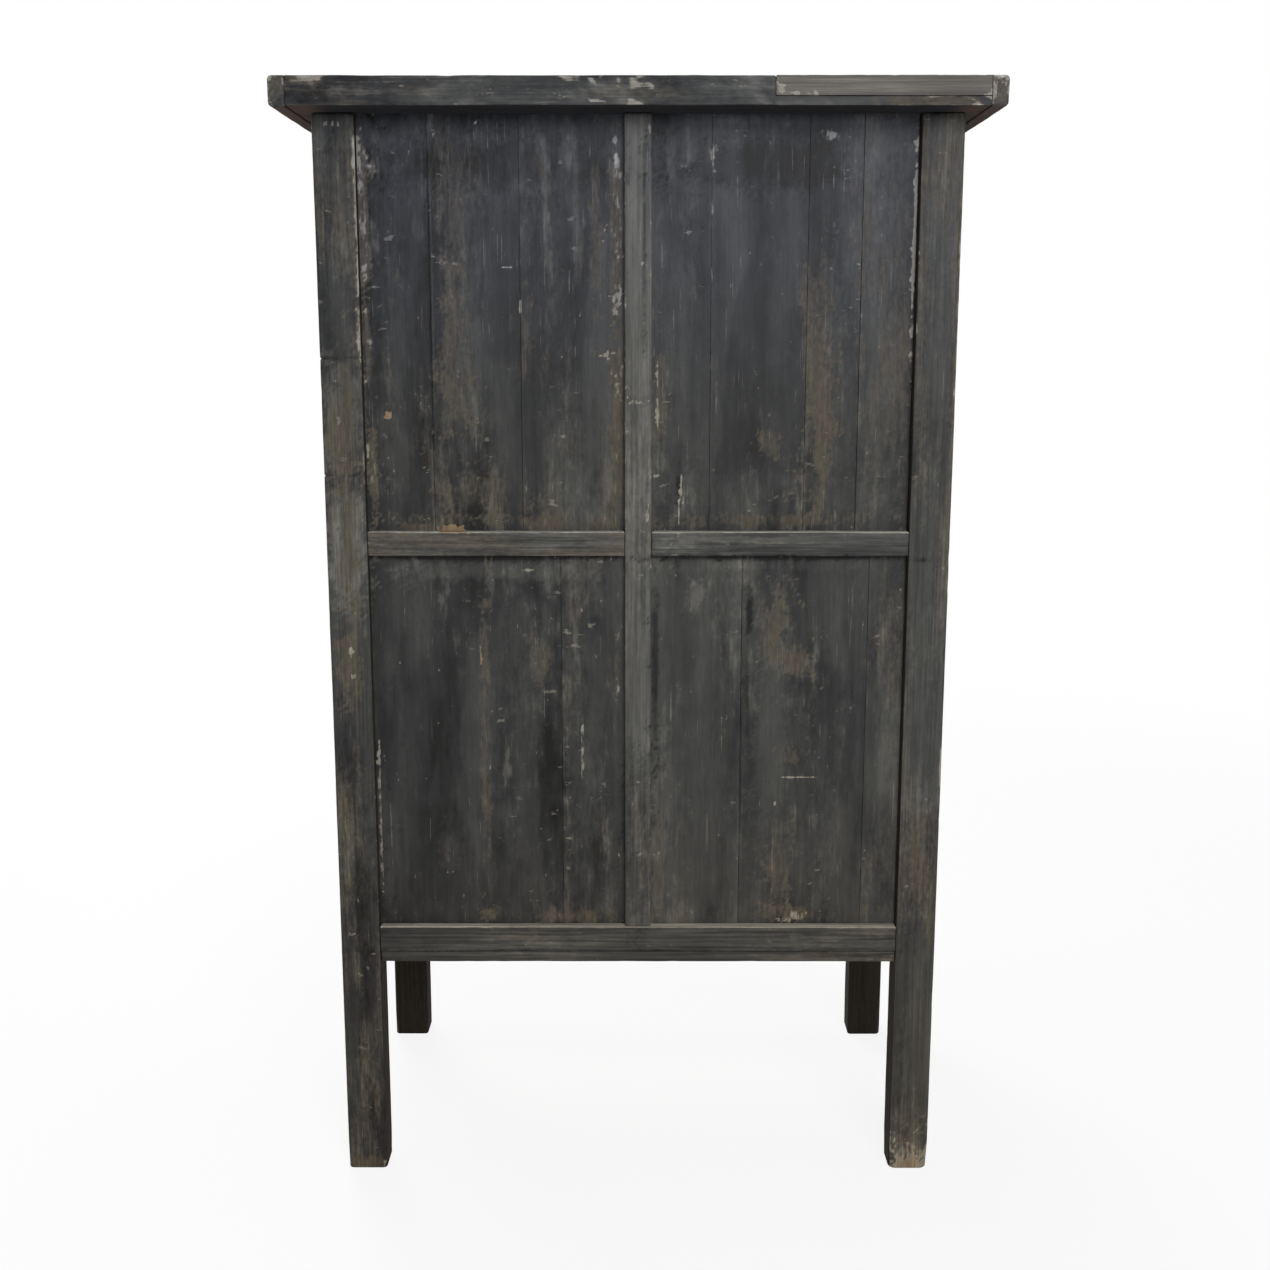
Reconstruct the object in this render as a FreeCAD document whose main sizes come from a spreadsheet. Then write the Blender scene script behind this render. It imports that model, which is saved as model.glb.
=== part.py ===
import FreeCAD, Part
import os
import re
import Sketcher

# A tall Chinese cabinet of lacquered wood, in millimetres.
# Z is up and the floor is Z = 0. The doors face -Y and the back faces +Y.
# Left and right are as seen from the front, so left is -X.

SIZES = {
    # posts and the space between them
    "body_width": 1000,
    "body_depth": 590,
    "carcass_height": 1751,
    "post_width": 66,
    "post_depth": 60,
    "post_arris": 3,
    "foot_chamfer": 4,
    "post_tenon_inset": 18,
    "post_tenon_length": 28,
    # top
    "top_thick": 44,
    "side_overhang": 49,
    "depth_overhang": 70,
    "end_cap_width": 27,
    "cap_proud": 2,
    "cap_round": 8,
    "edge_round": 5,
    "tongue_thick": 14,
    "tongue_length": 13,
    "tongue_stop": 24,
    "repair_length": 318,
    "repair_height": 30,
    "repair_depth": 18,
    "batten_offset": 160,
    "batten_width": 34,
    "batten_height": 24,
    "dovetail_neck": 22,
    "dovetail_width": 30,
    "dovetail_height": 12,
    # rails and the back stile
    "rail_base": 378,
    "rail_height": 64,
    "rail_depth": 36,
    "rail_arris": 1.5,
    "bead_height": 19,
    "bead_step": 2.5,
    "front_rail_depth": 50,
    "mid_base": 1069,
    "mid_height": 40,
    "back_stile_width": 43,
    "tenon_thick": 12,
    "tenon_length": 30,
    "tenon_shoulder": 9,
    "stub_tenon": 11,
    "peg_size": 8,
    "peg_spread": 12,
    "peg_past": 4,
    # boards and panels
    "board_seam": 0.5,
    "panel_thick": 12,
    "panel_recess": 16,
    "groove_depth": 9,
    "end_play": 1,
    "floor_thick": 14,
    "floor_drop": 28,
    "floor_groove": 8,
    "shelf_thick": 14,
    "shelf_setback": 8,
    "bearer_width": 20,
    "bearer_height": 30,
    "fit_gap": 0.5,
    # under the front rail and over the doors
    "apron_height": 48,
    "apron_thick": 12,
    "apron_setback": 10,
    "spandrel_width": 46,
    "spandrel_height": 120,
    "spandrel_scoop": 30,
    "stop_width": 20,
    "stop_height": 22,
    "stop_gap": 0.3,
    # doors
    "door_thick": 28,
    "door_setback": 0,
    "door_gap": 2.5,
    "meeting_gap": 2,
    "sill_gap": 2,
    "head_gap": 3,
    "door_stile_width": 52,
    "door_top_height": 52,
    "door_mid_base": 1075,
    "door_mid_height": 46,
    "door_bottom_height": 58,
    "door_tenon_thick": 9,
    "door_tenon_length": 30,
    "door_tenon_shoulder": 9,
    "door_panel_thick": 10,
    "pivot_radius": 8,
    "pivot_length": 16,
    "head_pivot_length": 20,
    "pivot_clear": 0.06,
    "seat_gap": 0.3,
    "lift_room": 6,
    # pulls
    "pull_height": 1180,
    "pull_inset": 24,
    "plate_radius": 46,
    "plate_thick": 1.5,
    "plate_lower": 22,
    "eye_radius": 7.6,
    "eye_band": 3.2,
    "eye_thick": 2.4,
    "eye_gap": 0.2,
    "shank_size": 4.4,
    "shank_clear": 0.3,
    "clinch_length": 12,
    "clinch_width": 5,
    "clinch_thick": 2,
    "lug_radius": 8,
    "lug_band": 2.6,
    "lug_gap": 0.8,
    "drop_thick": 2.4,
    "drop_radius": 12,
    "drop_length": 36,
    # how far a cutter starts outside the face that it cuts
    "overrun": 1,
}

# widths of the boards as shares of their panel, from the post towards the middle of the back
BACK_BOARDS = {
    "right_upper": (0.27, 0.33, 0.40),
    "right_lower": (0.42, 0.32, 0.26),
    "left_upper": (0.20, 0.20, 0.36, 0.24),
    "left_lower": (0.14, 0.31, 0.16, 0.39),
}
# the same along the sides from the front, and across the floor, the shelf and the top from the front
SIDE_BOARDS = (0.30, 0.38, 0.32)
FLOOR_BOARDS = (0.26, 0.24, 0.28, 0.22)
SHELF_BOARDS = (0.36, 0.31, 0.33)
TOP_PLANKS = {"front": (0.00, 0.34), "middle": (0.34, 0.64), "rear": (0.64, 1.00)}

SIDES = {"left": -1, "right": 1}
ENDS = {"front": -1, "rear": 1}

# planes that several pieces share, written with the names of the sheet
OUT_X = "(body_width / 2)"
IN_X = f"({OUT_X} - post_width)"
OUT_Y = "(body_depth / 2)"
IN_Y = f"({OUT_Y} - post_depth)"
END_X = f"({OUT_X} + side_overhang)"
EDGE_Y = f"({OUT_Y} + depth_overhang)"
PLANK_X = f"({END_X} - end_cap_width)"
TOP_Z = "(carcass_height + top_thick)"
RAIL_TOP = "(rail_base + rail_height)"
MID_TOP = "(mid_base + mid_height)"
BACK_IN = f"({OUT_Y} - rail_depth)"
SIDE_IN = f"({OUT_X} - rail_depth)"
FRONT_IN = f"({OUT_Y} - front_rail_depth)"
STILE_X = "(back_stile_width / 2)"
DOOR_FRONT = f"(-{OUT_Y} + door_setback)"
DOOR_BACK = f"({DOOR_FRONT} + door_thick)"
FLOOR_Z = (f"{RAIL_TOP} - floor_drop - floor_thick", f"{RAIL_TOP} - floor_drop")
SHELF_BASE = "(mid_base + bearer_height)"

BACK_PANEL_Y = (f"{OUT_Y} - panel_recess - panel_thick", f"{OUT_Y} - panel_recess")
SIDE_PANEL_X = (f"{OUT_X} - panel_recess - panel_thick", f"{OUT_X} - panel_recess")

doc = FreeCAD.newDocument("cabinet")
sheet = doc.addObject("Spreadsheet::Sheet", "Sizes")
nodes = {}


def fill_sheet():
    for row, (alias, value) in enumerate(SIZES.items(), start=1):
        sheet.set(f"A{row}", alias)
        sheet.set(f"B{row}", str(value))
        sheet.setAlias(f"B{row}", alias)
    doc.recompute()


def link(expression):
    """Turn the sheet's names in an expression into references to its cells."""
    def reference(match):
        word = match.group()
        return f"Sizes.{word}" if word in SIZES else word
    return re.sub(r"[a-z_]+", reference, expression)


def flip(span):
    return f"-({span[1]})", f"-({span[0]})"


def toward(sign, span):
    """A span given for the positive side, on the side of this sign."""
    return span if sign > 0 else flip(span)


def about(half):
    return f"-({half})", half


def centred(middle, width):
    return f"({middle}) - ({width}) / 2", f"({middle}) + ({width}) / 2"


def shrunk(span, margin):
    return f"({span[0]}) + ({margin})", f"({span[1]}) - ({margin})"


def grown(span, margin):
    return shrunk(span, f"-({margin})")


def node(name, piece):
    piece.Label = name
    nodes[name] = piece
    return piece


def block(name, x, y, z):
    """A straight-sided board between the given spans."""
    box = doc.addObject("Part::Box", name)
    for size, axis, (low, high) in zip(("Length", "Width", "Height"), "xyz", (x, y, z)):
        box.setExpression(size, link(f"({high}) - ({low})"))
        box.setExpression(f"Placement.Base.{axis}", link(low))
    return box


def place(piece, x, y, z, turn=None):
    """Move a round piece to a point, after turning it from the Z axis."""
    if turn:
        piece.Placement = FreeCAD.Placement(FreeCAD.Vector(), turn)
    for axis, expression in zip("xyz", (x, y, z)):
        piece.setExpression(f"Placement.Base.{axis}", link(expression))
    return piece


def rod(name, radius, x, y, z):
    """An upright round rod; z is its span."""
    cylinder = doc.addObject("Part::Cylinder", name)
    cylinder.setExpression("Radius", link(radius))
    cylinder.setExpression("Height", link(f"({z[1]}) - ({z[0]})"))
    return place(cylinder, x, y, z[0])


def rod_along_y(name, radius, x, y, z):
    """A round rod that runs from front to back; y is its span."""
    cylinder = doc.addObject("Part::Cylinder", name)
    cylinder.setExpression("Radius", link(radius))
    cylinder.setExpression("Height", link(f"({y[1]}) - ({y[0]})"))
    return place(cylinder, x, y[0], z, FreeCAD.Rotation(FreeCAD.Vector(1, 0, 0), -90))


def disc(name, radius, thick, x, y, z, axis):
    """A round disc about a point, square to one axis."""
    cylinder = doc.addObject("Part::Cylinder", name)
    cylinder.setExpression("Radius", link(radius))
    cylinder.setExpression("Height", link(thick))
    corner = {"x": x, "y": y, "z": z}
    corner[axis] = f"{corner[axis]} - ({thick}) / 2"
    normal = FreeCAD.Vector(*[float(axis == letter) for letter in "xyz"])
    return place(cylinder, corner["x"], corner["y"], corner["z"],
                 FreeCAD.Rotation(FreeCAD.Vector(0, 0, 1), normal))


def flat_ring(name, radius, band, thick, x, y, z, axis):
    """A ring cut from flat metal, round a point and square to one axis."""
    rim = disc(f"{name}_rim", radius, thick, x, y, z, axis)
    hole = disc(f"{name}_hole", f"{radius} - {band}", f"{thick} + 2 * overrun", x, y, z, axis)
    return cut(name, rim, [hole])


def fuse(name, pieces):
    union = doc.addObject("Part::MultiFuse", name)
    union.Shapes = pieces
    return union


def cut(name, base, cutters):
    difference = doc.addObject("Part::Cut", name)
    difference.Base = base
    difference.Tool = cutters[0] if len(cutters) == 1 else fuse(f"{name}_cutters", cutters)
    return difference


def group(name, pieces):
    compound = doc.addObject("Part::Compound", name)
    compound.Links = pieces
    return compound


def outline(body, name, plane, points, offset):
    """A closed sketch of straight lines; each corner is a pair of expressions."""
    sketch = body.newObject("Sketcher::SketchObject", name)
    origin = next(f for f in body.Origin.OriginFeatures if f.Role == plane)
    sketch.AttachmentSupport = [(origin, "")]
    sketch.MapMode = "FlatFace"
    sketch.setExpression("AttachmentOffset.Base.z", link(offset))
    count = len(points)
    start = [FreeCAD.Vector(i + 1, (i + 1) ** 2, 0) for i in range(count)]
    for i in range(count):
        sketch.addGeometry(Part.LineSegment(start[i], start[(i + 1) % count]), False)
    for i in range(count):
        sketch.addConstraint(Sketcher.Constraint("Coincident", i, 2, (i + 1) % count, 1))
    for i, corner in enumerate(points):
        for kind, value, expression in zip(("DistanceX", "DistanceY"), start[i], corner):
            index = sketch.addConstraint(Sketcher.Constraint(kind, -1, 1, i, 1, value))
            sketch.setExpression(f"Constraints[{index}]", link(expression))
    return sketch


def profile(name, plane, points, offset, length):
    """A body padded from an outline on one of its origin planes, along that plane's normal."""
    body = doc.addObject("PartDesign::Body", name)
    pad = body.newObject("PartDesign::Pad", f"{name}_pad")
    pad.Profile = outline(body, f"{name}_outline", plane, points, offset)
    pad.setExpression("Length", link(length))
    return body, pad


def dress_edges(kind, body, feature, size, chosen):
    """Fillet or chamfer those edges of a body's last feature that chosen(edge box, body box) picks."""
    doc.recompute()
    box = feature.Shape.BoundBox
    edges = enumerate(feature.Shape.Edges, start=1)
    dressed = body.newObject(f"PartDesign::{kind}", f"{body.Name}_{kind.lower()}")
    dressed.Base = (feature, [f"Edge{i}" for i, edge in edges if chosen(edge.BoundBox, box)])
    dressed.setExpression({"Fillet": "Radius", "Chamfer": "Size"}[kind], link(size))


def same(a, b):
    return abs(a - b) < 1e-6


def softened(u, v, arris):
    """A rectangle with its four corners taken off."""
    (u0, u1), (v0, v1) = u, v
    a = arris
    return [
        (f"{u0} + {a}", v0), (f"{u1} - {a}", v0), (u1, f"{v0} + {a}"), (u1, f"{v1} - {a}"),
        (f"{u1} - {a}", v1), (f"{u0} + {a}", v1), (u0, f"{v1} - {a}"), (u0, f"{v0} + {a}"),
    ]


def boards(name, shares, span, board):
    """Separate boards side by side across a span; board(name, across) makes one."""
    low, high = span
    made = []
    done = 0.0
    for i, share in enumerate(shares):
        last = i == len(shares) - 1
        edge0 = f"{low} + (({high}) - ({low})) * {done:.4f}" if i else low
        edge1 = high if last else f"{low} + (({high}) - ({low})) * {done + share:.4f} - board_seam"
        made.append(board(f"{name}_board{i + 1}", (edge0, edge1)))
        done += share
    return made


# spans of the tenons, shared by the rail that carries them and the post that takes them
RAIL_TENON_Z = shrunk(("rail_base", RAIL_TOP), "tenon_shoulder")
MID_TENON_Z = shrunk(("mid_base", MID_TOP), "tenon_shoulder")
BACK_TENON_Y = centred(f"{OUT_Y} - rail_depth / 2", "tenon_thick")
FRONT_TENON_Y = centred(f"-({OUT_Y} - front_rail_depth / 2)", "tenon_thick")
SIDE_TENON_X = centred(f"{OUT_X} - rail_depth / 2", "tenon_thick")
POST_TENON_X = (f"{IN_X} + post_tenon_inset", f"{OUT_X} - post_tenon_inset")
POST_TENON_Y = (f"{IN_Y} + post_tenon_inset", f"{OUT_Y} - post_tenon_inset")
STILE_TENON_X = about(f"({STILE_X} - groove_depth)")
MORTISE_X = (f"{IN_X} - overrun", f"{IN_X} + tenon_length + end_play")
MORTISE_Y = (f"{IN_Y} - overrun", f"{IN_Y} + tenon_length + end_play")


def pegs():
    """Square pegs through the bottom rails' tenons, driven from inside the posts."""
    middle = "(rail_base + rail_height / 2)"
    lower = centred(f"{middle} - peg_spread", "peg_size")
    upper = centred(f"{middle} + peg_spread", "peg_size")
    through_x = (IN_X, f"{SIDE_TENON_X[1]} + peg_past")
    far_y = {"front": f"-({FRONT_TENON_Y[0]}) + peg_past", "rear": f"{BACK_TENON_Y[1]} + peg_past"}
    made = []
    for end, sy in ENDS.items():
        for side, sx in SIDES.items():
            x = toward(sx, centred(f"{IN_X} + tenon_length / 2", "peg_size"))
            y = toward(sy, centred(f"{IN_Y} + tenon_length / 2", "peg_size"))
            made.append(block(f"peg_cross_{end}_{side}", x, toward(sy, (IN_Y, far_y[end])), lower))
            made.append(block(f"peg_side_{end}_{side}", toward(sx, through_x), y, upper))
    return node("rail_pegs", group("rail_pegs", made))


def post(end, side, peg_set):
    name = f"{end}_post_{side}"
    sx, sy = SIDES[side], ENDS[end]
    x, y = toward(sx, (IN_X, OUT_X)), toward(sy, (IN_Y, OUT_Y))
    body, pad = profile(f"{name}_shaft", "XY_Plane", softened(x, y, "post_arris"), "0", "carcass_height")
    dress_edges("Chamfer", body, pad, "foot_chamfer", lambda edge, box: same(edge.ZMax, box.ZMin))
    tenon = block(f"{name}_tenon", toward(sx, POST_TENON_X), toward(sy, POST_TENON_Y),
                  (RAIL_TOP, "carcass_height + post_tenon_length"))
    panel_z = (f"{RAIL_TOP} - groove_depth", "carcass_height + overrun")
    cross_tenon_y = FRONT_TENON_Y if end == "front" else BACK_TENON_Y
    cutters = [
        block(f"{name}_cross_mortise", toward(sx, MORTISE_X), cross_tenon_y, RAIL_TENON_Z),
        block(f"{name}_side_mortise", toward(sx, SIDE_TENON_X), toward(sy, MORTISE_Y), RAIL_TENON_Z),
        block(f"{name}_side_mid_mortise", toward(sx, SIDE_TENON_X), toward(sy, MORTISE_Y), MID_TENON_Z),
        block(f"{name}_side_groove", toward(sx, SIDE_PANEL_X),
              toward(sy, (f"{IN_Y} - overrun", f"{IN_Y} + groove_depth")), panel_z),
        peg_set,
    ]
    if end == "rear":
        groove_x = toward(sx, (f"{IN_X} - overrun", f"{IN_X} + groove_depth"))
        cutters.append(block(f"{name}_back_groove", groove_x, BACK_PANEL_Y, panel_z))
        cutters.append(block(f"{name}_mid_mortise", toward(sx, MORTISE_X), BACK_TENON_Y, MID_TENON_Z))
    node(name, cut(name, fuse(f"{name}_blank", [body, tenon]), cutters))


def back_bottom_rail(peg_set):
    """The rail under the back panels, with a bead strip stepped back along its lower edge."""
    bead_y = f"{OUT_Y} - bead_step"
    bead_z = "rail_base + bead_height"
    section = [
        (BACK_IN, "rail_base"), (bead_y, "rail_base"), (bead_y, bead_z), (OUT_Y, bead_z),
        (OUT_Y, f"{RAIL_TOP} - rail_arris"), (f"{OUT_Y} - rail_arris", RAIL_TOP), (BACK_IN, RAIL_TOP),
    ]
    bar, _ = profile("back_bottom_bar", "YZ_Plane", section, f"-{IN_X}", f"2 * {IN_X}")
    tenons = block("back_bottom_tenons", about(f"({IN_X} + tenon_length)"), BACK_TENON_Y, RAIL_TENON_Z)
    cutters = [
        block("back_bottom_groove", about(f"({IN_X} + overrun)"), BACK_PANEL_Y,
              (f"{RAIL_TOP} - groove_depth", f"{RAIL_TOP} + overrun")),
        block("back_stile_mortise", STILE_TENON_X, BACK_TENON_Y,
              (f"{RAIL_TOP} - tenon_length - end_play", f"{RAIL_TOP} + overrun")),
        block("back_floor_groove", about(f"({IN_X} + overrun)"),
              (f"{BACK_IN} - overrun", f"{BACK_IN} + floor_groove"), FLOOR_Z),
        peg_set,
    ]
    blank = fuse("back_bottom_blank", [bar, tenons])
    node("back_bottom_rail", cut("back_bottom_rail", blank, cutters))


def back_stile():
    """The upright in the middle of the back, from the bottom rail into the top."""
    section = softened(about(STILE_X), (BACK_IN, OUT_Y), "rail_arris")
    bar, _ = profile("back_stile_bar", "XY_Plane", section, RAIL_TOP, f"carcass_height - {RAIL_TOP}")
    tenons = block("back_stile_tenons", STILE_TENON_X, BACK_TENON_Y,
                   (f"{RAIL_TOP} - tenon_length", "carcass_height + post_tenon_length"))
    cutters = []
    for side, sign in SIDES.items():
        groove = toward(sign, (f"{STILE_X} - groove_depth", f"{STILE_X} + overrun"))
        mortise = toward(sign, (f"{STILE_X} - stub_tenon - end_play", f"{STILE_X} + overrun"))
        cutters.append(block(f"back_stile_groove_{side}", groove, BACK_PANEL_Y,
                             (RAIL_TOP, "carcass_height")))
        cutters.append(block(f"back_stile_mortise_{side}", mortise, BACK_TENON_Y, MID_TENON_Z))
    blank = fuse("back_stile_blank", [bar, tenons])
    node("back_centre_stile", cut("back_centre_stile", blank, cutters))


def back_mid_rail(side):
    name = f"back_mid_rail_{side}"
    sign = SIDES[side]
    shoulders = toward(sign, (STILE_X, IN_X))
    section = softened((BACK_IN, OUT_Y), ("mid_base", MID_TOP), "rail_arris")
    bar, _ = profile(f"{name}_bar", "YZ_Plane", section, shoulders[0],
                     f"({shoulders[1]}) - ({shoulders[0]})")
    tenons = block(f"{name}_tenons", toward(sign, (f"{STILE_X} - stub_tenon", f"{IN_X} + tenon_length")),
                   BACK_TENON_Y, MID_TENON_Z)
    length = grown(shoulders, "overrun")
    cutters = [
        block(f"{name}_upper_groove", length, BACK_PANEL_Y,
              (f"{MID_TOP} - groove_depth", f"{MID_TOP} + overrun")),
        block(f"{name}_lower_groove", length, BACK_PANEL_Y,
              ("mid_base - overrun", "mid_base + groove_depth")),
    ]
    keep_tenons = fuse(f"{name}_blank", [cut(f"{name}_grooved", bar, cutters), tenons])
    node(name, keep_tenons)


def panel_span(low, high):
    """A panel's edges, inside the grooves of the pieces that hold it."""
    inset = "(groove_depth - end_play)"
    return f"{low} - {inset}", f"{high} + {inset}"


PANEL_LEVELS = {
    "lower": panel_span(RAIL_TOP, "mid_base"),
    "upper": panel_span(MID_TOP, "carcass_height"),
}


def back_panel(side, level):
    name = f"back_panel_{side}_{level}"
    sign = SIDES[side]
    post_edge, stile_edge = f"{IN_X} + groove_depth - end_play", f"{STILE_X} - groove_depth + end_play"
    z = PANEL_LEVELS[level]

    def board(label, across):
        # shares run from the post inwards
        return block(label, toward(-sign, across), BACK_PANEL_Y, z)

    shares = BACK_BOARDS[f"{side}_{level}"]
    node(name, group(name, boards(name, shares, flip((stile_edge, post_edge)), board)))


def side_rails(side, peg_set):
    sign = SIDES[side]
    depth = toward(sign, (SIDE_IN, OUT_X))
    along = about(f"({IN_Y} + overrun)")
    levels = {"bottom": ("rail_base", RAIL_TOP, RAIL_TENON_Z), "mid": ("mid_base", MID_TOP, MID_TENON_Z)}
    for level, (low, high, tenon_z) in levels.items():
        name = f"side_{level}_rail_{side}"
        section = softened(depth, (low, high), "rail_arris")
        bar, _ = profile(f"{name}_bar", "XZ_Plane", section, f"-{IN_Y}", f"2 * {IN_Y}")
        tenons = block(f"{name}_tenons", toward(sign, SIDE_TENON_X),
                       about(f"({IN_Y} + tenon_length)"), tenon_z)
        panel_x = toward(sign, SIDE_PANEL_X)
        cutters = [block(f"{name}_groove", panel_x, along, (f"{high} - groove_depth", f"{high} + overrun"))]
        if level == "bottom":
            floor_x = toward(sign, (f"{SIDE_IN} - overrun", f"{SIDE_IN} + floor_groove"))
            cutters.append(block(f"{name}_floor_groove", floor_x, along, FLOOR_Z))
        else:
            cutters.append(block(f"{name}_lower_groove", panel_x, along,
                                 (f"{low} - overrun", f"{low} + groove_depth")))
        piece = fuse(f"{name}_blank", [cut(f"{name}_grooved", bar, cutters), tenons])
        node(name, cut(name, piece, [peg_set]) if level == "bottom" else piece)


def side_panel(side, level):
    name = f"side_panel_{side}_{level}"
    x = toward(SIDES[side], SIDE_PANEL_X)
    z = PANEL_LEVELS[level]

    def board(label, across):
        return block(label, x, across, z)

    span = about(f"({IN_Y} + groove_depth - end_play)")
    node(name, group(name, boards(name, SIDE_BOARDS, span, board)))


def pivot_sockets():
    """Round holes for the doors' pivots, in the sill and in the top."""
    sill = []
    head = []
    for side, sign in SIDES.items():
        x, y = hinge_place(sign)
        radius = "pivot_radius + pivot_clear"
        sill.append(rod(f"sill_socket_{side}", radius, x, y,
                        (f"{RAIL_TOP} - pivot_length - seat_gap", f"{RAIL_TOP} + overrun")))
        head.append(rod(f"head_socket_{side}", radius, x, y,
                        ("carcass_height - overrun", "carcass_height + head_pivot_length + lift_room")))
    return sill, head


def hinge_place(sign):
    x = f"{sign} * ({IN_X} - door_gap - door_thick / 2)"
    return x, f"{DOOR_FRONT} + door_thick / 2"


def front_bottom_rail(peg_set, sockets):
    """The sill that carries the doors."""
    section = softened(flip((FRONT_IN, OUT_Y)), ("rail_base", RAIL_TOP), "rail_arris")
    bar, _ = profile("front_bottom_bar", "YZ_Plane", section, f"-{IN_X}", f"2 * {IN_X}")
    tenons = block("front_bottom_tenons", about(f"({IN_X} + tenon_length)"), FRONT_TENON_Y, RAIL_TENON_Z)
    groove = block("front_floor_groove", about(f"({IN_X} + overrun)"),
                   flip((f"{FRONT_IN} - overrun", f"{FRONT_IN} + floor_groove")), FLOOR_Z)
    blank = fuse("front_bottom_blank", [bar, tenons])
    node("front_bottom_rail", cut("front_bottom_rail", blank, [groove, peg_set] + sockets))


def apron():
    """A thin apron under the sill, with a scooped spandrel against each leg."""
    y = (f"-{OUT_Y} + apron_setback", f"-{OUT_Y} + apron_setback + apron_thick")
    inner = f"({IN_X} - spandrel_width)"
    node("front_apron", block("front_apron", about(inner), y, ("rail_base - apron_height", "rail_base")))
    for side, sign in SIDES.items():
        name = f"apron_spandrel_{side}"
        foot = "rail_base - spandrel_height"
        blank = block(f"{name}_blank", toward(sign, (inner, IN_X)), y, (foot, "rail_base"))
        scoop = rod_along_y(f"{name}_scoop", "spandrel_scoop", f"{sign} * {inner}",
                            grown(y, "overrun"), foot)
        node(name, cut(name, blank, [scoop]))


def post_notches():
    """Where the floor and the shelf are cut away round the posts."""
    made = []
    for end, sy in ENDS.items():
        for side, sx in SIDES.items():
            made.append(block(f"notch_{end}_{side}", toward(sx, (f"{IN_X} - fit_gap", OUT_X)),
                              toward(sy, (f"{IN_Y} - fit_gap", OUT_Y)), ("0", "carcass_height")))
    return made


def floor_and_shelf():
    notches = post_notches()
    floor_x = about(f"({SIDE_IN} + floor_groove - fit_gap)")
    floor_y = (f"-({FRONT_IN} + floor_groove - fit_gap)", f"{BACK_IN} + floor_groove - fit_gap")
    shelf_x = about(f"({SIDE_IN} - fit_gap)")
    shelf_y = (f"{DOOR_BACK} + shelf_setback", f"{BACK_IN} - fit_gap")

    def floor_board(label, across):
        return block(label, floor_x, across, FLOOR_Z)

    def shelf_board(label, across):
        return block(label, shelf_x, across, (SHELF_BASE, f"{SHELF_BASE} + shelf_thick"))

    for name, shares, span, board in (
        ("floor_boards", FLOOR_BOARDS, floor_y, floor_board),
        ("shelf_boards", SHELF_BOARDS, shelf_y, shelf_board),
    ):
        plain = group(f"{name}_blank", boards(name, shares, span, board))
        node(name, cut(name, plain, notches))
    for side, sign in SIDES.items():
        name = f"shelf_bearer_{side}"
        x = toward(sign, (f"{SIDE_IN} - bearer_width", SIDE_IN))
        node(name, block(name, x, about(IN_Y), ("mid_base", SHELF_BASE)))


def top_batten(side):
    """A batten that slides into a dovetail across the underside of the planks."""
    name = f"top_batten_{side}"
    middle = f"{SIDES[side]} * batten_offset"

    def edge(sign, width):
        return f"{middle} + {sign} * {width} / 2"

    base = "carcass_height - batten_height"
    neck = "carcass_height"
    head = "carcass_height + dovetail_height"
    right_half = [
        ("batten_width", base), ("batten_width", neck), ("dovetail_neck", neck), ("dovetail_width", head),
    ]
    section = [(edge(1, width), z) for width, z in right_half]
    section += [(edge(-1, width), z) for width, z in reversed(right_half)]
    front = f"({DOOR_BACK} + stop_gap + stop_width)"
    body, _ = profile(name, "XZ_Plane", section, f"-{BACK_IN}", f"{BACK_IN} - {front}")
    return node(name, body)


def top_cutters(head_sockets, battens):
    """Everything that is let into the underside of the planks."""
    cutters = list(battens) + list(head_sockets)
    groove_z = ("carcass_height - overrun", "carcass_height + groove_depth")
    tenon_z = ("carcass_height - overrun", "carcass_height + post_tenon_length + end_play")
    for end, sy in ENDS.items():
        for side, sx in SIDES.items():
            cutters.append(block(f"top_mortise_{end}_{side}", toward(sx, POST_TENON_X),
                                 toward(sy, POST_TENON_Y), tenon_z))
    cutters.append(block("top_stile_mortise", STILE_TENON_X, BACK_TENON_Y, tenon_z))
    cutters.append(block("top_back_groove", about(f"({IN_X} + groove_depth)"), BACK_PANEL_Y, groove_z))
    for side, sign in SIDES.items():
        cutters.append(block(f"top_side_groove_{side}", toward(sign, SIDE_PANEL_X),
                             about(f"({IN_Y} + groove_depth)"), groove_z))
    return fuse("top_cutters", cutters)


TONGUE_Z = centred("carcass_height + top_thick / 2", "tongue_thick")


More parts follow.
